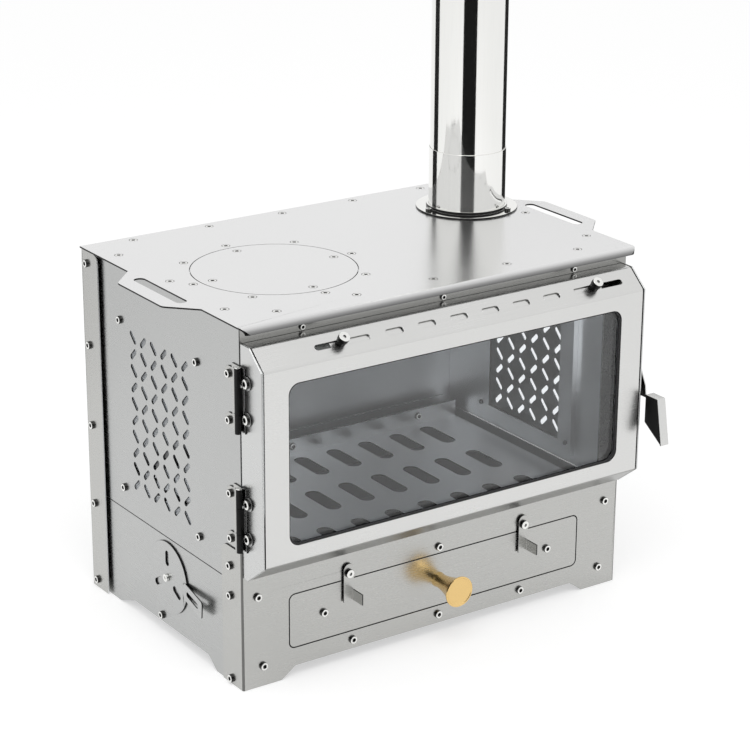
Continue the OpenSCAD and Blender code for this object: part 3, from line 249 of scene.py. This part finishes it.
# Metals: colour, roughness and lines per metre, then what differs from plain rolled steel
METALS = {
    "casing_across": dict(tint=(0.49, 0.49, 0.475), rough=0.27, grain=900.0, brushed=X, bump=0.003),
    "casing_along": dict(tint=(0.475, 0.48, 0.475), rough=0.27, grain=900.0, brushed=Y, bump=0.003),
    # Bends: painted shade, for the dark room that a bend mirrors
    "bend_painted_shade": dict(tint=(0.16, 0.16, 0.155), rough=0.30, grain=900.0, brushed=Z),
    # Cut edges and faces turned from the light: painted shade, near black
    "dark_painted_shade": dict(tint=(0.022, 0.022, 0.022), rough=0.40, grain=1500.0, spread=0.3),
    # Header under the top plate's lip: darker than the casing, as painted shade
    "header_painted_shade": dict(tint=(0.34, 0.34, 0.33), rough=0.27, grain=900.0, brushed=X),
    "door_steel": dict(tint=(0.66, 0.66, 0.65), rough=0.26, grain=900.0, brushed=X, bump=0.003),
    # Door faces that look down and forwards: painted shade
    "door_low_painted_shade": dict(tint=(0.36, 0.36, 0.35), rough=0.30, grain=900.0, brushed=X),
    "door_end": dict(tint=(0.60, 0.605, 0.60), rough=0.28, grain=900.0, brushed=Y),
    # Top plate: its front lip gets painted shade
    "top_steel": dict(tint=(0.75, 0.75, 0.75), rough=0.24, grain=900.0, brushed=X, spread=0.01,
                      bump=0.003, lip=True),
    "flue_steel": dict(tint=(0.84, 0.84, 0.82), rough=0.07, grain=700.0, brushed=Z, bump=0.004),
    "screw_steel": dict(tint=(0.82, 0.82, 0.80), rough=0.20, grain=2500.0, spread=0.05),
    # Screw heads' sides, sockets and shanks: painted shade
    "screw_side_painted_shade": dict(tint=(0.07, 0.07, 0.068), rough=0.30, grain=2500.0, spread=0.3),
    # Inner steel: far lighter than the same steel outside, as painted light that comes in through the
    # glass and vents
    "inner_steel": dict(tint=(0.86, 0.87, 0.88), rough=0.34, grain=700.0, brushed=X, bump=0.003),
    "inner_dark": dict(tint=(0.16, 0.165, 0.17), rough=0.40, grain=700.0, brushed=X, spread=0.05),
    "brass": dict(tint=(0.80, 0.56, 0.24), rough=0.24, grain=1600.0, spread=0.05),
}
MATERIALS = {name: steel(name, **values) for name, values in METALS.items()}
MATERIALS["glass"] = make_glass()
MATERIALS["seal"] = make_seal()


def coat(piece, *finishes):
    """Puts the materials in the piece's slots, in the order in which its faces were marked."""
    slots = piece.data.materials
    while len(slots) < len(finishes):
        slots.append(None)
    for place, finish in enumerate(finishes):
        slots[place] = MATERIALS[finish]


# Bench work: what every piece is made with

SHEET = 1.2 * MM
NEAR = 0.02 * MM
SQUARE_ON = 0.9


def deselect():
    if bpy.context.object and bpy.context.object.mode != "OBJECT":
        bpy.ops.object.mode_set(mode="OBJECT")
    bpy.ops.object.select_all(action="DESELECT")


def take(piece):
    """Makes a piece the only selected and the active one."""
    deselect()
    piece.select_set(True)
    bpy.context.view_layer.objects.active = piece


def edit(piece, kind="EDGE"):
    """Opens a piece in edit mode with nothing selected."""
    take(piece)
    bpy.ops.object.mode_set(mode="EDIT")
    bpy.ops.mesh.select_mode(type=kind)
    bpy.ops.mesh.select_all(action="DESELECT")


def pick_edges(piece, test):
    """In edit mode, selects the edges whose two ends both pass the test."""
    mesh = bmesh.from_edit_mesh(piece.data)
    for edge in mesh.edges:
        edge.select = all(test(vertex.co) for vertex in edge.verts)
    bmesh.update_edit_mesh(piece.data)


def pick_faces(piece, test):
    """In edit mode, selects the faces that pass the test of their middle and normal."""
    mesh = bmesh.from_edit_mesh(piece.data)
    for face in mesh.faces:
        face.select = test(face.calc_center_median(), face.normal)
    bmesh.update_edit_mesh(piece.data)


def mark_faces(piece, slot, test):
    """Gives the faces that pass the test of their middle and normal that material slot."""
    for face in piece.data.polygons:
        if test(face.center, face.normal):
            face.material_index = slot


def at(axis, value):
    """Test for points that lie at one value of an axis."""
    return lambda point: abs(point[axis] - value) < NEAR


def both(first, second):
    """Test for points that pass two tests."""
    return lambda point: first(point) and second(point)


def facing(axis, way):
    """Test for faces that look along an axis, upwards with way 1 and downwards with way -1."""
    return lambda middle, normal: normal[axis] * way > SQUARE_ON


def push(shift):
    """Extrudes the selected faces by a shift."""
    bpy.ops.mesh.extrude_region_move(TRANSFORM_OT_translate={"value": shift})


# Material slots of a refined piece, after the one for its finish: painted dark shade for cut edges and
# given faces, painted shade for bends, painted light for inner faces; a bend can also keep what it has
SHADE_SLOT = 1
FOLD_SHADE = 2
INSIDE_LIGHT_SLOT = 3
KEEP = -1


def bend(piece, radius, test, steps=4, slot=KEEP):
    """Rounds the edges that pass the test, as a folded sheet's bend."""
    edit(piece)
    pick_edges(piece, test)
    bpy.ops.mesh.bevel(offset=radius, offset_type="OFFSET", segments=steps, affect="EDGES",
                       clamp_overlap=False, loop_slide=False, material=slot)
    bpy.ops.object.mode_set(mode="OBJECT")


def score(piece, axis, value):
    """Cuts a line round the piece in the plane across an axis."""
    edit(piece)
    bpy.ops.mesh.select_all(action="SELECT")
    place = [0.0, 0.0, 0.0]
    place[axis] = value
    across = [0.0, 0.0, 0.0]
    across[axis] = 1.0
    bpy.ops.mesh.bisect(plane_co=place, plane_no=across)
    bpy.ops.object.mode_set(mode="OBJECT")


def saw_off(piece, place, keep_low):
    """In edit mode, cuts the piece across X, closes the cut and keeps one side of it."""
    bpy.ops.mesh.select_all(action="SELECT")
    bpy.ops.mesh.bisect(plane_co=(place, 0.0, 0.0), plane_no=(1.0, 0.0, 0.0), use_fill=True,
                        clear_inner=not keep_low, clear_outer=keep_low)


# Cut edges: width of the widest, when two faces count as one plane, and what a long fold's facet is
WIDEST_CUT = 1.75 * MM
ONE_PLANE = 0.99995
UPRIGHT_ENDS = 0.1
TILTED = 0.02
LONG_WAY_ROUND = 100 * MM


def mark_cuts(piece):
    """Gives the narrow faces across a sheet's thickness the slot of painted dark shade, but no sliver of
    a flat face and no facet of a long fold."""
    edit(piece, "FACE")
    mesh = bmesh.from_edit_mesh(piece.data)
    for face in mesh.faces:
        normal = face.normal
        beside = [other.normal for edge in face.edges for other in edge.link_faces if other != face]
        sliver = any(normal.dot(other) > ONE_PLANE for other in beside)
        fold = abs(normal.x) < UPRIGHT_ENDS and abs(normal.y) > TILTED and abs(normal.z) > TILTED
        way_round = face.calc_perimeter()
        narrow = 2 * face.calc_area() / way_round < WIDEST_CUT
        if narrow and not sliver and not (fold and way_round > LONG_WAY_ROUND):
            face.material_index = SHADE_SLOT
    bmesh.update_edit_mesh(piece.data)
    bpy.ops.object.mode_set(mode="OBJECT")


# Points that count as one, and the angle under which neighbouring faces do
ONE_POINT = 0.1 * NEAR
ONE_FACE = math.radians(1.0)


def copy_of(node, name):
    """Copy of a CAD node's mesh as a piece of its own, merged, with its flat faces in one."""
    piece = bpy.data.objects.new(name, nodes[node].data.copy())
    piece.data.materials.clear()
    bpy.context.scene.collection.objects.link(piece)
    take(piece)
    bpy.ops.mesh.customdata_custom_splitnormals_clear()
    bpy.ops.object.mode_set(mode="EDIT")
    bpy.ops.mesh.select_all(action="SELECT")
    bpy.ops.mesh.remove_doubles(threshold=ONE_POINT)
    bpy.ops.mesh.dissolve_limited(angle_limit=ONE_FACE)
    bpy.ops.object.mode_set(mode="OBJECT")
    return piece


def break_edges(piece, width, steps=2, angle=40.0):
    """Takes the sharpness off every edge, as a maker's file does."""
    take(piece)
    bevel = piece.modifiers.new("broken_edges", "BEVEL")
    bevel.width = width
    bevel.segments = steps
    bevel.limit_method = "ANGLE"
    bevel.angle_limit = math.radians(angle)
    bevel.use_clamp_overlap = False
    bpy.ops.object.modifier_apply(modifier=bevel.name)


def smooth(piece, angle=50.0):
    """Smooth shading that keeps flat faces flat."""
    take(piece)
    bpy.ops.object.shade_smooth_by_angle(angle=math.radians(angle))
    normals = piece.modifiers.new("flat_faces", "WEIGHTED_NORMAL")
    normals.keep_sharp = True
    normals.weight = 100
    bpy.ops.object.modifier_apply(modifier=normals.name)


bodies = record["behaviour"]["bodies"]
body_of = {node: body for body, members in bodies.items() for node in members}


def fit(piece, node, *finishes):
    """Lets a finished piece stand for its CAD node: puts the given materials in its slots, sets it on the
    node's body and hides the node.
    """
    coat(piece, *finishes)
    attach(piece, body_of[node])
    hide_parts(node)


# Width of the broken edges: thin sheets, plain sheets, small plates, thick plates, turned knobs, panes
THIN_EDGE = 0.15 * MM
EDGE = 0.2 * MM
PLATE_EDGE = 0.25 * MM
THICK_EDGE = 0.3 * MM
KNOB_EDGE = 0.35 * MM
PANE_EDGE = 0.5 * MM

# Upright bends: radius, lines that guard the sheet on both sides, middle of the stove
BEND = 1.7 * MM
GUARD = 2.2 * BEND
MIDDLE = [(low + high) / 2 for low, high in zip(cad_low, cad_high)]


def refine(node, finish, width=EDGE, bends=(), angle=40.0, cuts=True, dark=None, inside=None):
    """Piece made from a CAD node: cut edges and the given dark faces in painted shade, bends rounded in
    painted shade, inner faces in painted light, all other edges broken.
    """
    piece = copy_of(node, node + "_made")
    if inside:
        mark_faces(piece, INSIDE_LIGHT_SLOT, inside)
    if cuts:
        mark_cuts(piece)
    # Given faces turned from the light get painted dark shade
    if dark:
        mark_faces(piece, SHADE_SLOT, dark)
    coat(piece, finish, "dark_painted_shade", "bend_painted_shade", "inner_steel")
    # Bends are rounded, their faces in the slot of painted shade
    for x, y in bends:
        for axis, value in ((X, x), (Y, y)):
            score(piece, axis, value - math.copysign(GUARD, value - MIDDLE[axis]))
        bend(piece, BEND, both(at(X, x), at(Y, y)), slot=FOLD_SHADE)
    break_edges(piece, width, angle=angle)
    smooth(piece)
    bpy.ops.object.material_slot_remove_unused()
    fit(piece, node)


# Folded sheets

def make_casing():
    low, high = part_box("lower_front_panel")
    refine("lower_front_panel", "casing_across", THIN_EDGE, bends=[(low.x, low.y), (high.x, low.y)])
    low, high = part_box("back_panel")
    refine("back_panel", "casing_across", bends=[(low.x, high.y), (high.x, high.y)], cuts=False,
           inside=facing(Y, -1))
    refine("header_plate", "header_painted_shade", THIN_EDGE)
    for side, inwards in (("left", 1), ("right", -1)):
        for part in ("_side_panel", "_lower_panel"):
            refine(side + part, "casing_along", inside=facing(X, inwards))


def make_top():
    refine("top_plate", "top_steel", angle=35.0, inside=facing(Z, -1))
    refine("cook_plate", "top_steel")
    refine("cook_seat_ring", "inner_steel", THIN_EDGE)
    refine("cook_plate_ring", "inner_steel", THIN_EDGE)


def make_flue():
    refine("flue_pipe", "flue_steel", cuts=False)
    refine("flue_sleeve", "flue_steel", PLATE_EDGE, cuts=False)
    refine("flue_collar", "flue_steel", PLATE_EDGE)


# Door: a bent sheet between two end plates, which stand a dark gap away from it

END_GAP = 1.5 * MM
DOOR_BEND = 2.0 * MM
DOOR_SHADE_SLOT = 1
UPPER_SLANT = 0.2
LOWER_SLANT = 0.3


def door_folds(low, high):
    """Fold lines of the door's outside as y and z, read from the CAD profile."""
    folds = {}
    for vertex in nodes["door_shell"].data.vertices:
        x, y, z = vertex.co
        outer = at(Y, low.y)(vertex.co) or at(Z, low.z)(vertex.co) or at(Z, high.z)(vertex.co)
        if at(X, low.x)(vertex.co) and outer and y < high.y - NEAR:
            folds.setdefault((round(y / NEAR), round(z / NEAR)), (y, z))
    return folds.values()


def door_bevel_normal():
    """Outward normal of the door's upper bevel."""
    gauge = copy_of("door_shell", "bevel_gauge")
    slanted = [face for face in gauge.data.polygons
               if face.normal.y < -UPPER_SLANT and face.normal.z > UPPER_SLANT
               and abs(face.normal.x) < UPRIGHT_ENDS]
    widest = max(slanted, key=lambda face: face.area)
    normal = Vector((0.0, widest.normal.y, widest.normal.z))
    bpy.data.objects.remove(gauge)
    return normal


def make_door():
    low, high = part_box("door_shell")
    sheet = copy_of("door_shell", "door_sheet")
    edit(sheet)
    saw_off(sheet, low.x + SHEET + END_GAP, keep_low=False)
    saw_off(sheet, high.x - SHEET - END_GAP, keep_low=True)
    bpy.ops.object.mode_set(mode="OBJECT")
    # Faces that slant down and forwards get painted shade
    mark_faces(sheet, DOOR_SHADE_SLOT,
               lambda middle, normal: normal.z < -LOWER_SLANT and normal.y < -LOWER_SLANT)
    coat(sheet, "door_steel", "door_low_painted_shade")
    for y, z in door_folds(low, high):
        bend(sheet, DOOR_BEND, both(at(Y, y), at(Z, z)), steps=5)
    break_edges(sheet, THIN_EDGE, angle=50.0)
    smooth(sheet)
    fit(sheet, "door_shell")
    for name, place, keep_low in (("door_end_left", low.x + SHEET - NEAR, True),
                                  ("door_end_right", high.x - SHEET + NEAR, False)):
        plate = copy_of("door_shell", name)
        edit(plate)
        saw_off(plate, place, keep_low)
        bpy.ops.object.mode_set(mode="OBJECT")
        break_edges(plate, THICK_EDGE)
        smooth(plate)
        fit(plate, "door_shell", "door_end")


# Small plates and what lies inside

KNUCKLE_REACH = 3.6 * MM
LEVER_EDGE = 0.6 * MM
TURNED_AWAY = 0.5


def make_hinges():
    """Hinge leaves of sheet, their rolled knuckles painted dark as the reflection of dark surroundings.
    """
    low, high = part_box("hinge_pins")
    axis = (low + high) / 2
    for place in ("upper", "lower"):
        for side, finish in (("casing", "casing_across"), ("door", "door_end")):
            refine(place + "_hinge_" + side + "_leaf", finish, PLATE_EDGE,
                   dark=lambda middle, normal: (middle - axis).xy.length < KNUCKLE_REACH)


def make_small_plates():
    """Drawer front, clips, damper, shutter and latch, with the small turned pieces."""
    for node in ("drawer_front", "left_clip", "right_clip"):
        refine(node, "casing_across")
    refine("damper_disk", "casing_along", PLATE_EDGE)
    refine("air_shutter", "door_steel")
    refine("latch_bracket", "door_steel", PLATE_EDGE)
    # Lever faces turned from the front and top: painted shade
    refine("latch_lever", "door_steel", LEVER_EDGE, cuts=False,
           dark=lambda middle, normal: normal.y > -TURNED_AWAY and normal.z < TURNED_AWAY)
    for node in ("latch_stud", "latch_pivot", "damper_pivot", "hinge_pins", "retainer_nuts"):
        refine(node, "screw_steel", PLATE_EDGE, cuts=False)


def make_inside():
    """Rails, trays, frames and panes, which only need their edges broken."""
    # Rails, grate and frames in painted light
    for node in ("front_top_rail", "front_grate_rail", "rear_grate_rail", "fire_grate", "glass_retainer",
                 "left_glass_frame", "right_glass_frame"):
        refine(node, "inner_steel")
    for node in ("bottom_tray", "drawer_runners", "ash_pan"):
        refine(node, "inner_dark")
    for node in ("door_glass", "left_side_glass", "right_side_glass"):
        refine(node, "glass", PANE_EDGE, cuts=False)
    refine("glass_seal", "seal", PANE_EDGE, cuts=False)


# Screws: each kind is made once and copied to its places

SCREW_SIDES = 28
SCREW_SHADE_SLOT = 1
SHANK = 2.0 * MM

# Cap screw: round of the rim and socket as shares of the head, height of the bright face, below which the
# head has painted shade
CAP_ROUND_SHARE = 0.16
CAP_SOCKET_DEPTH_SHARE = 0.6
CAP_SOCKET_SHARE = 0.56
CAP_BRIGHT = 0.4 * MM
CAP_EDGE = 0.1 * MM

# Countersunk screw: ground rim, socket as shares of the head, height of the bright face, below which the
# head has painted shade
SUNK_RIM = 0.45 * MM
SUNK_SOCKET_DEPTH_SHARE = 0.8
SUNK_SOCKET_SHARE = 0.5
SUNK_BRIGHT = 0.1 * MM
SUNK_LEVEL = 0.95
SUNK_EDGE = 0.05 * MM

# Heights of the heads
HEAD = 3.0 * MM
LOW_HEAD = 2.4 * MM
THIN_HEAD = 1.8 * MM
SUNK_HEAD = 1.2 * MM

# The ways a screw looks: turn from upright in degrees, axis, and end of its box where its head is
WAYS = {
    "up": ((0.0, 0.0, 0.0), Z, 1),
    "front": ((90.0, 0.0, 0.0), Y, 0),
    "back": ((-90.0, 0.0, 0.0), Y, 1),
    "left": ((0.0, -90.0, 0.0), X, 0),
    "right": ((0.0, 90.0, 0.0), X, 1),
}


def solids_of(node):
    """Lowest and highest corners of the separate solids in a CAD node."""
    group = copy_of(node, "loose_solids")
    edit(group)
    bpy.ops.mesh.select_all(action="SELECT")
    bpy.ops.mesh.separate(type="LOOSE")
    bpy.ops.object.mode_set(mode="OBJECT")
    boxes = []
    for part in {group, *bpy.context.selected_objects}:
        points = list(zip(*[vertex.co for vertex in part.data.vertices]))
        boxes.append(([min(values) for values in points], [max(values) for values in points]))
        bpy.data.objects.remove(part)
    return sorted(boxes)


def hex_socket(piece, top, depth, radius):
    """Cuts a six-sided socket into a screw head."""
    bpy.ops.mesh.primitive_cylinder_add(vertices=6, radius=radius, depth=2 * depth,
                                        location=(0.0, 0.0, top))
    cutter = bpy.context.object
    take(piece)
    cut = piece.modifiers.new("socket", "BOOLEAN")
    cut.operation = "DIFFERENCE"
    cut.object = cutter
    cut.solver = "EXACT"
    bpy.ops.object.modifier_apply(modifier=cut.name)
    bpy.data.objects.remove(cutter)


def cap_screw(radius, tall, reach):
    """Socket screw at the origin: head from z 0 upwards, shank below."""
    deselect()
    bpy.ops.mesh.primitive_cylinder_add(vertices=SCREW_SIDES, radius=radius, depth=tall,
                                        location=(0.0, 0.0, tall / 2))
    screw = bpy.context.object
    bpy.ops.object.transform_apply(location=True, rotation=False, scale=False)
    edit(screw)
    pick_edges(screw, at(Z, tall))
    bpy.ops.mesh.bevel(offset=CAP_ROUND_SHARE * radius, segments=2, affect="EDGES")
    edit(screw, "FACE")
    pick_faces(screw, facing(Z, -1))
    bpy.ops.mesh.inset(thickness=radius - SHANK)
    push((0.0, 0.0, -reach))
    bpy.ops.object.mode_set(mode="OBJECT")
    hex_socket(screw, tall, CAP_SOCKET_DEPTH_SHARE * tall, CAP_SOCKET_SHARE * radius)
    # Sides, socket and all below the bright face get painted shade
    mark_faces(screw, SCREW_SHADE_SLOT,
               lambda middle, normal: normal.z < TURNED_AWAY or middle.z < tall - CAP_BRIGHT)
    coat(screw, "screw_steel", "screw_side_painted_shade")
    break_edges(screw, CAP_EDGE, steps=1, angle=50.0)
    return screw


def sunk_screw(radius, deep, reach):
    """Countersunk socket screw at the origin: its face is at z 0."""
    deselect()
    bpy.ops.mesh.primitive_cone_add(vertices=SCREW_SIDES, radius1=SHANK, radius2=radius, depth=deep,
                                    location=(0.0, 0.0, -deep / 2))
    screw = bpy.context.object
    bpy.ops.object.transform_apply(location=True, rotation=False, scale=False)
    edit(screw)
    pick_edges(screw, at(Z, 0.0))
    bpy.ops.mesh.bevel(offset=SUNK_RIM, segments=1, affect="EDGES")
    edit(screw, "FACE")
    pick_faces(screw, facing(Z, -1))
    push((0.0, 0.0, -reach))
    bpy.ops.object.mode_set(mode="OBJECT")
    hex_socket(screw, 0.0, SUNK_SOCKET_DEPTH_SHARE * deep, SUNK_SOCKET_SHARE * radius)
    # Sides, socket and all below the bright face get painted shade
    mark_faces(screw, SCREW_SHADE_SLOT,
               lambda middle, normal: normal.z < SUNK_LEVEL or middle.z < -SUNK_BRIGHT)
    coat(screw, "screw_steel", "screw_side_painted_shade")
    break_edges(screw, SUNK_EDGE, steps=1, angle=50.0)
    return screw


def place_screws(node, way, head, sunk=False):
    """Screws of one node, each where its CAD solid is, joined in one piece."""
    make = sunk_screw if sunk else cap_screw
    placed = []
    models = {}
    for low, high in solids_of(node):
        middle = [(a + b) / 2 for a, b in zip(low, high)]
        turn, axis, end = WAYS[way(middle)]
        radius = max(high[other] - low[other] for other in (X, Y, Z) if other != axis) / 2
        length = high[axis] - low[axis]
        kind = (round(radius / NEAR), round(length / NEAR))
        if kind not in models:
            models[kind] = make(radius, head, length - head)
        spot = list(middle)
        spot[axis] = (low, high)[end][axis]
        if not sunk:
            spot[axis] += -head if end else head
        screw = bpy.data.objects.new("screw", models[kind].data.copy())
        bpy.context.scene.collection.objects.link(screw)
        screw.rotation_euler = [math.radians(angle) for angle in turn]
        screw.location = spot
        placed.append(screw)
    for model in models.values():
        bpy.data.objects.remove(model)
    deselect()
    for screw in placed:
        screw.select_set(True)
    bpy.context.view_layer.objects.active = placed[0]
    bpy.ops.object.transform_apply(location=True, rotation=True, scale=False)
    if len(placed) > 1:
        bpy.ops.object.join()
    group = bpy.context.object
    group.name = node + "_made"
    smooth(group)
    fit(group, node, "screw_steel", "screw_side_painted_shade")


def make_screws():
    place_screws("side_screws", lambda middle: "left" if middle[X] < 0 else "right", HEAD)
    place_screws("front_screws", lambda middle: "front", HEAD)
    place_screws("back_screws", lambda middle: "back", LOW_HEAD)
    place_screws("flue_collar_screws", lambda middle: "up", HEAD)
    place_screws("hinge_casing_screws", lambda middle: "left", HEAD)
    place_screws("hinge_door_screws", lambda middle: "left", HEAD)
    place_screws("drawer_screws", lambda middle: "front", HEAD)
    place_screws("latch_bracket_screws", lambda middle: "right", THIN_HEAD)
    place_screws("grate_screws", lambda middle: "back" if middle[Y] < 0 else "front", HEAD)
    for node in ("top_screws", "cook_seat_screws", "cook_plate_screws"):
        place_screws(node, lambda middle: "up", SUNK_HEAD, sunk=True)
    # Clip screw faces turned from the front: painted shade
    refine("clip_screws", "screw_steel", THICK_EDGE, cuts=False,
           dark=lambda middle, normal: normal.y > -TURNED_AWAY)
    bevel_out = door_bevel_normal()
    # Knob faces turned from the door's bevel: painted shade
    refine("shutter_knobs", "screw_steel", KNOB_EDGE, cuts=False,
           dark=lambda middle, normal: normal.dot(bevel_out) < TURNED_AWAY)


# Drawer knob: a turned trumpet with a flat face and a thin rim

KNOB_SIDES = 56
KNOB_NECK = 6.3 * MM
KNOB_FOOT = 0.8 * MM
KNOB_FOOT_SHARE = 1.08
KNOB_TENON_SHARE = 0.36

# Cone: rings, how it flares, how far the rim stands out past it
CONE_RINGS = 14
CONE_FLARE = 2.0
CONE_STEP = 0.8 * MM

# Rim: its whole length, shoulder, flat, bevel as length and width
RIM_LENGTH = 1.6 * MM
RIM_SHOULDER = 0.35 * MM
RIM_FLAT = 0.7 * MM
RIM_BEVEL = 0.45 * MM
RIM_BEVEL_WIDE = 0.5 * MM

# Rings of the dished face: growth and way outwards
DISH = ((0.93, 0.0), (0.97, -0.35 * MM), (0.4, -0.1 * MM))


def knob_rings(rim, reach):
    """Growth and way outwards of each ring of the knob from its foot on: cone, rim and dished face."""
    rings = []
    radius = KNOB_NECK * KNOB_FOOT_SHARE
    depth = KNOB_FOOT
    for ring in range(CONE_RINGS):
        share = (ring + 1) / CONE_RINGS
        goal = KNOB_NECK + (rim - CONE_STEP - KNOB_NECK) * share ** CONE_FLARE
        goal_depth = KNOB_FOOT + (reach - KNOB_FOOT) * share
        rings.append((goal / radius, goal_depth - depth))
        radius = goal
        depth = goal_depth
    rings.append((rim / radius, RIM_SHOULDER))
    rings.append((1.0, RIM_FLAT))
    rings.append((1 - RIM_BEVEL_WIDE / rim, RIM_BEVEL))
    return rings + list(DISH)


def make_knob():
    low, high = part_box("drawer_knob")
    x = (low.x + high.x) / 2
    z = (low.z + high.z) / 2
    rim = (high.x - low.x) / 2
    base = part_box("drawer_front")[0].y
    deselect()
    bpy.ops.mesh.primitive_cylinder_add(vertices=KNOB_SIDES, radius=KNOB_NECK * KNOB_FOOT_SHARE,
                                        depth=KNOB_FOOT, location=(x, base - KNOB_FOOT / 2, z),
                                        rotation=(math.radians(90), 0.0, 0.0))
    knob = bpy.context.object
    knob.name = "drawer_knob_made"
    bpy.ops.object.transform_apply(location=True, rotation=True, scale=False)
    edit(knob, "FACE")
    pick_faces(knob, facing(Y, -1))
    depth = KNOB_FOOT
    for growth, shift in knob_rings(rim, base - low.y - RIM_LENGTH):
        push((0.0, -shift, 0.0))
        depth += shift
        bpy.ops.transform.resize(value=(growth, 1.0, growth), center_override=(x, base - depth, z))
    edit(knob, "FACE")
    pick_faces(knob, lambda middle, normal: facing(Y, 1)(middle, normal) and at(Y, base)(middle))
    push((0.0, high.y - base, 0.0))
    bpy.ops.transform.resize(value=(KNOB_TENON_SHARE, 1.0, KNOB_TENON_SHARE),
                             center_override=(x, high.y, z))
    bpy.ops.object.mode_set(mode="OBJECT")
    smooth(knob, angle=40.0)
    fit(knob, "drawer_knob", "brass")


# Studio: white sweep, a soft lamp, dark cards that show only in mirror images

FLOOR_SIZE = 40.0
FLOOR_DROP = 0.2 * MM
FLOOR_SHADE = 0.6
FLOOR_GLOW = 0.52
ROOM_LIGHT = 0.75
LAMP_PLACE = Vector((-0.6, -0.9, 1.9))
LAMP_AIM = Vector((0.0, 0.0, 0.15))
LAMP_SIZE = 1.4
LAMP_WATTS = 14.0

# Cards: angle round the flue from +X, half of the angle that they fill, distance, height, shade
CARDS = {
    "card_behind_camera": (-124.5, 20.0, 0.9, 1.2, 0.02),
    "card_left": (121.0, 11.5, 0.75, 0.7, 0.03),
    "card_right": (28.5, 27.0, 0.75, 0.44, 0.03),
}


def paper(name, shade):
    """Plain matt material, with its nodes and links."""
    material, tree, links = new_material(name)
    dial(tree["Principled BSDF"],
         {"Base Color": (*grey(shade), 1.0), "Roughness": 1.0, "Specular IOR Level": 0.0})
    return material, tree, links


def seen_ray(tree, links):
    """1 for rays from the camera, straight, mirrored or through glass, and 0 for light on surfaces."""
    path = put(tree, "ShaderNodeLightPath")
    either = put(tree, "ShaderNodeMath", operation="MAXIMUM")
    links.new(path.outputs["Is Camera Ray"], either.inputs[0])
    links.new(path.outputs["Is Glossy Ray"], either.inputs[1])
    any_of_them = put(tree, "ShaderNodeMath", operation="MAXIMUM")
    links.new(either.outputs[0], any_of_them.inputs[0])
    links.new(path.outputs["Is Transmission Ray"], any_of_them.inputs[1])
    return any_of_them.outputs[0]


def make_floor():
    bpy.ops.mesh.primitive_plane_add(size=FLOOR_SIZE, location=(0.0, 0.0, -FLOOR_DROP))
    floor = bpy.context.object
    floor.name = "floor"
    material, tree, links = paper("floor_paper", FLOOR_SHADE)
    shader = tree["Principled BSDF"]
    glow = put(tree, "ShaderNodeMath", operation="MULTIPLY")
    dial(glow, {1: FLOOR_GLOW})
    links.new(seen_ray(tree, links), glow.inputs[0])
    dial(shader, {"Emission Color": (1.0, 1.0, 1.0, 1.0)})
    links.new(glow.outputs[0], shader.inputs["Emission Strength"])
    floor.data.materials.append(material)


def make_world():
    world = bpy.data.worlds.new("studio")
    bpy.context.scene.world = world
    world.use_nodes = True
    tree, links = world.node_tree.nodes, world.node_tree.links
    shader = tree["Background"]
    level = put(tree, "ShaderNodeMapRange")
    dial(level, {"To Min": ROOM_LIGHT, "To Max": 1.0})
    links.new(seen_ray(tree, links), level.inputs["Value"])
    links.new(level.outputs["Result"], shader.inputs["Strength"])
    dial(shader, {"Color": (1.0, 1.0, 1.0, 1.0)})


def dark_card(name, angle, half_angle, distance, height, shade):
    """Upright card, square to the line from the flue."""
    low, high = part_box("flue_pipe")
    turn = math.radians(angle)
    x = (low.x + high.x) / 2 + distance * math.cos(turn)
    y = (low.y + high.y) / 2 + distance * math.sin(turn)
    width = 2 * distance * math.tan(math.radians(half_angle))
    bpy.ops.mesh.primitive_plane_add(size=1.0, location=(x, y, height / 2),
                                     rotation=(math.radians(90), 0.0, math.radians(angle + 90)))
    card = bpy.context.object
    card.name = name
    card.scale = (width, height, 1.0)
    card.data.materials.append(paper(name, shade)[0])
    card.visible_camera = False
    card.visible_diffuse = False
    card.visible_transmission = False
    card.visible_shadow = False


def make_lamp():
    data = bpy.data.lights.new("lamp_over", "AREA")
    data.shape = "SQUARE"
    data.size = LAMP_SIZE
    data.energy = LAMP_WATTS
    lamp = bpy.data.objects.new("lamp_over", data)
    bpy.context.scene.collection.objects.link(lamp)
    lamp.location = LAMP_PLACE
    lamp.rotation_euler = (LAMP_AIM - LAMP_PLACE).to_track_quat("-Z", "Y").to_euler()


make_casing()
make_top()
make_flue()
make_door()
make_hinges()
make_small_plates()
make_inside()
make_screws()
make_knob()

make_camera()
make_floor()
make_world()
for card_name, card_values in CARDS.items():
    dark_card(card_name, *card_values)
make_lamp()
bpy.context.scene.view_settings.view_transform = "Standard"
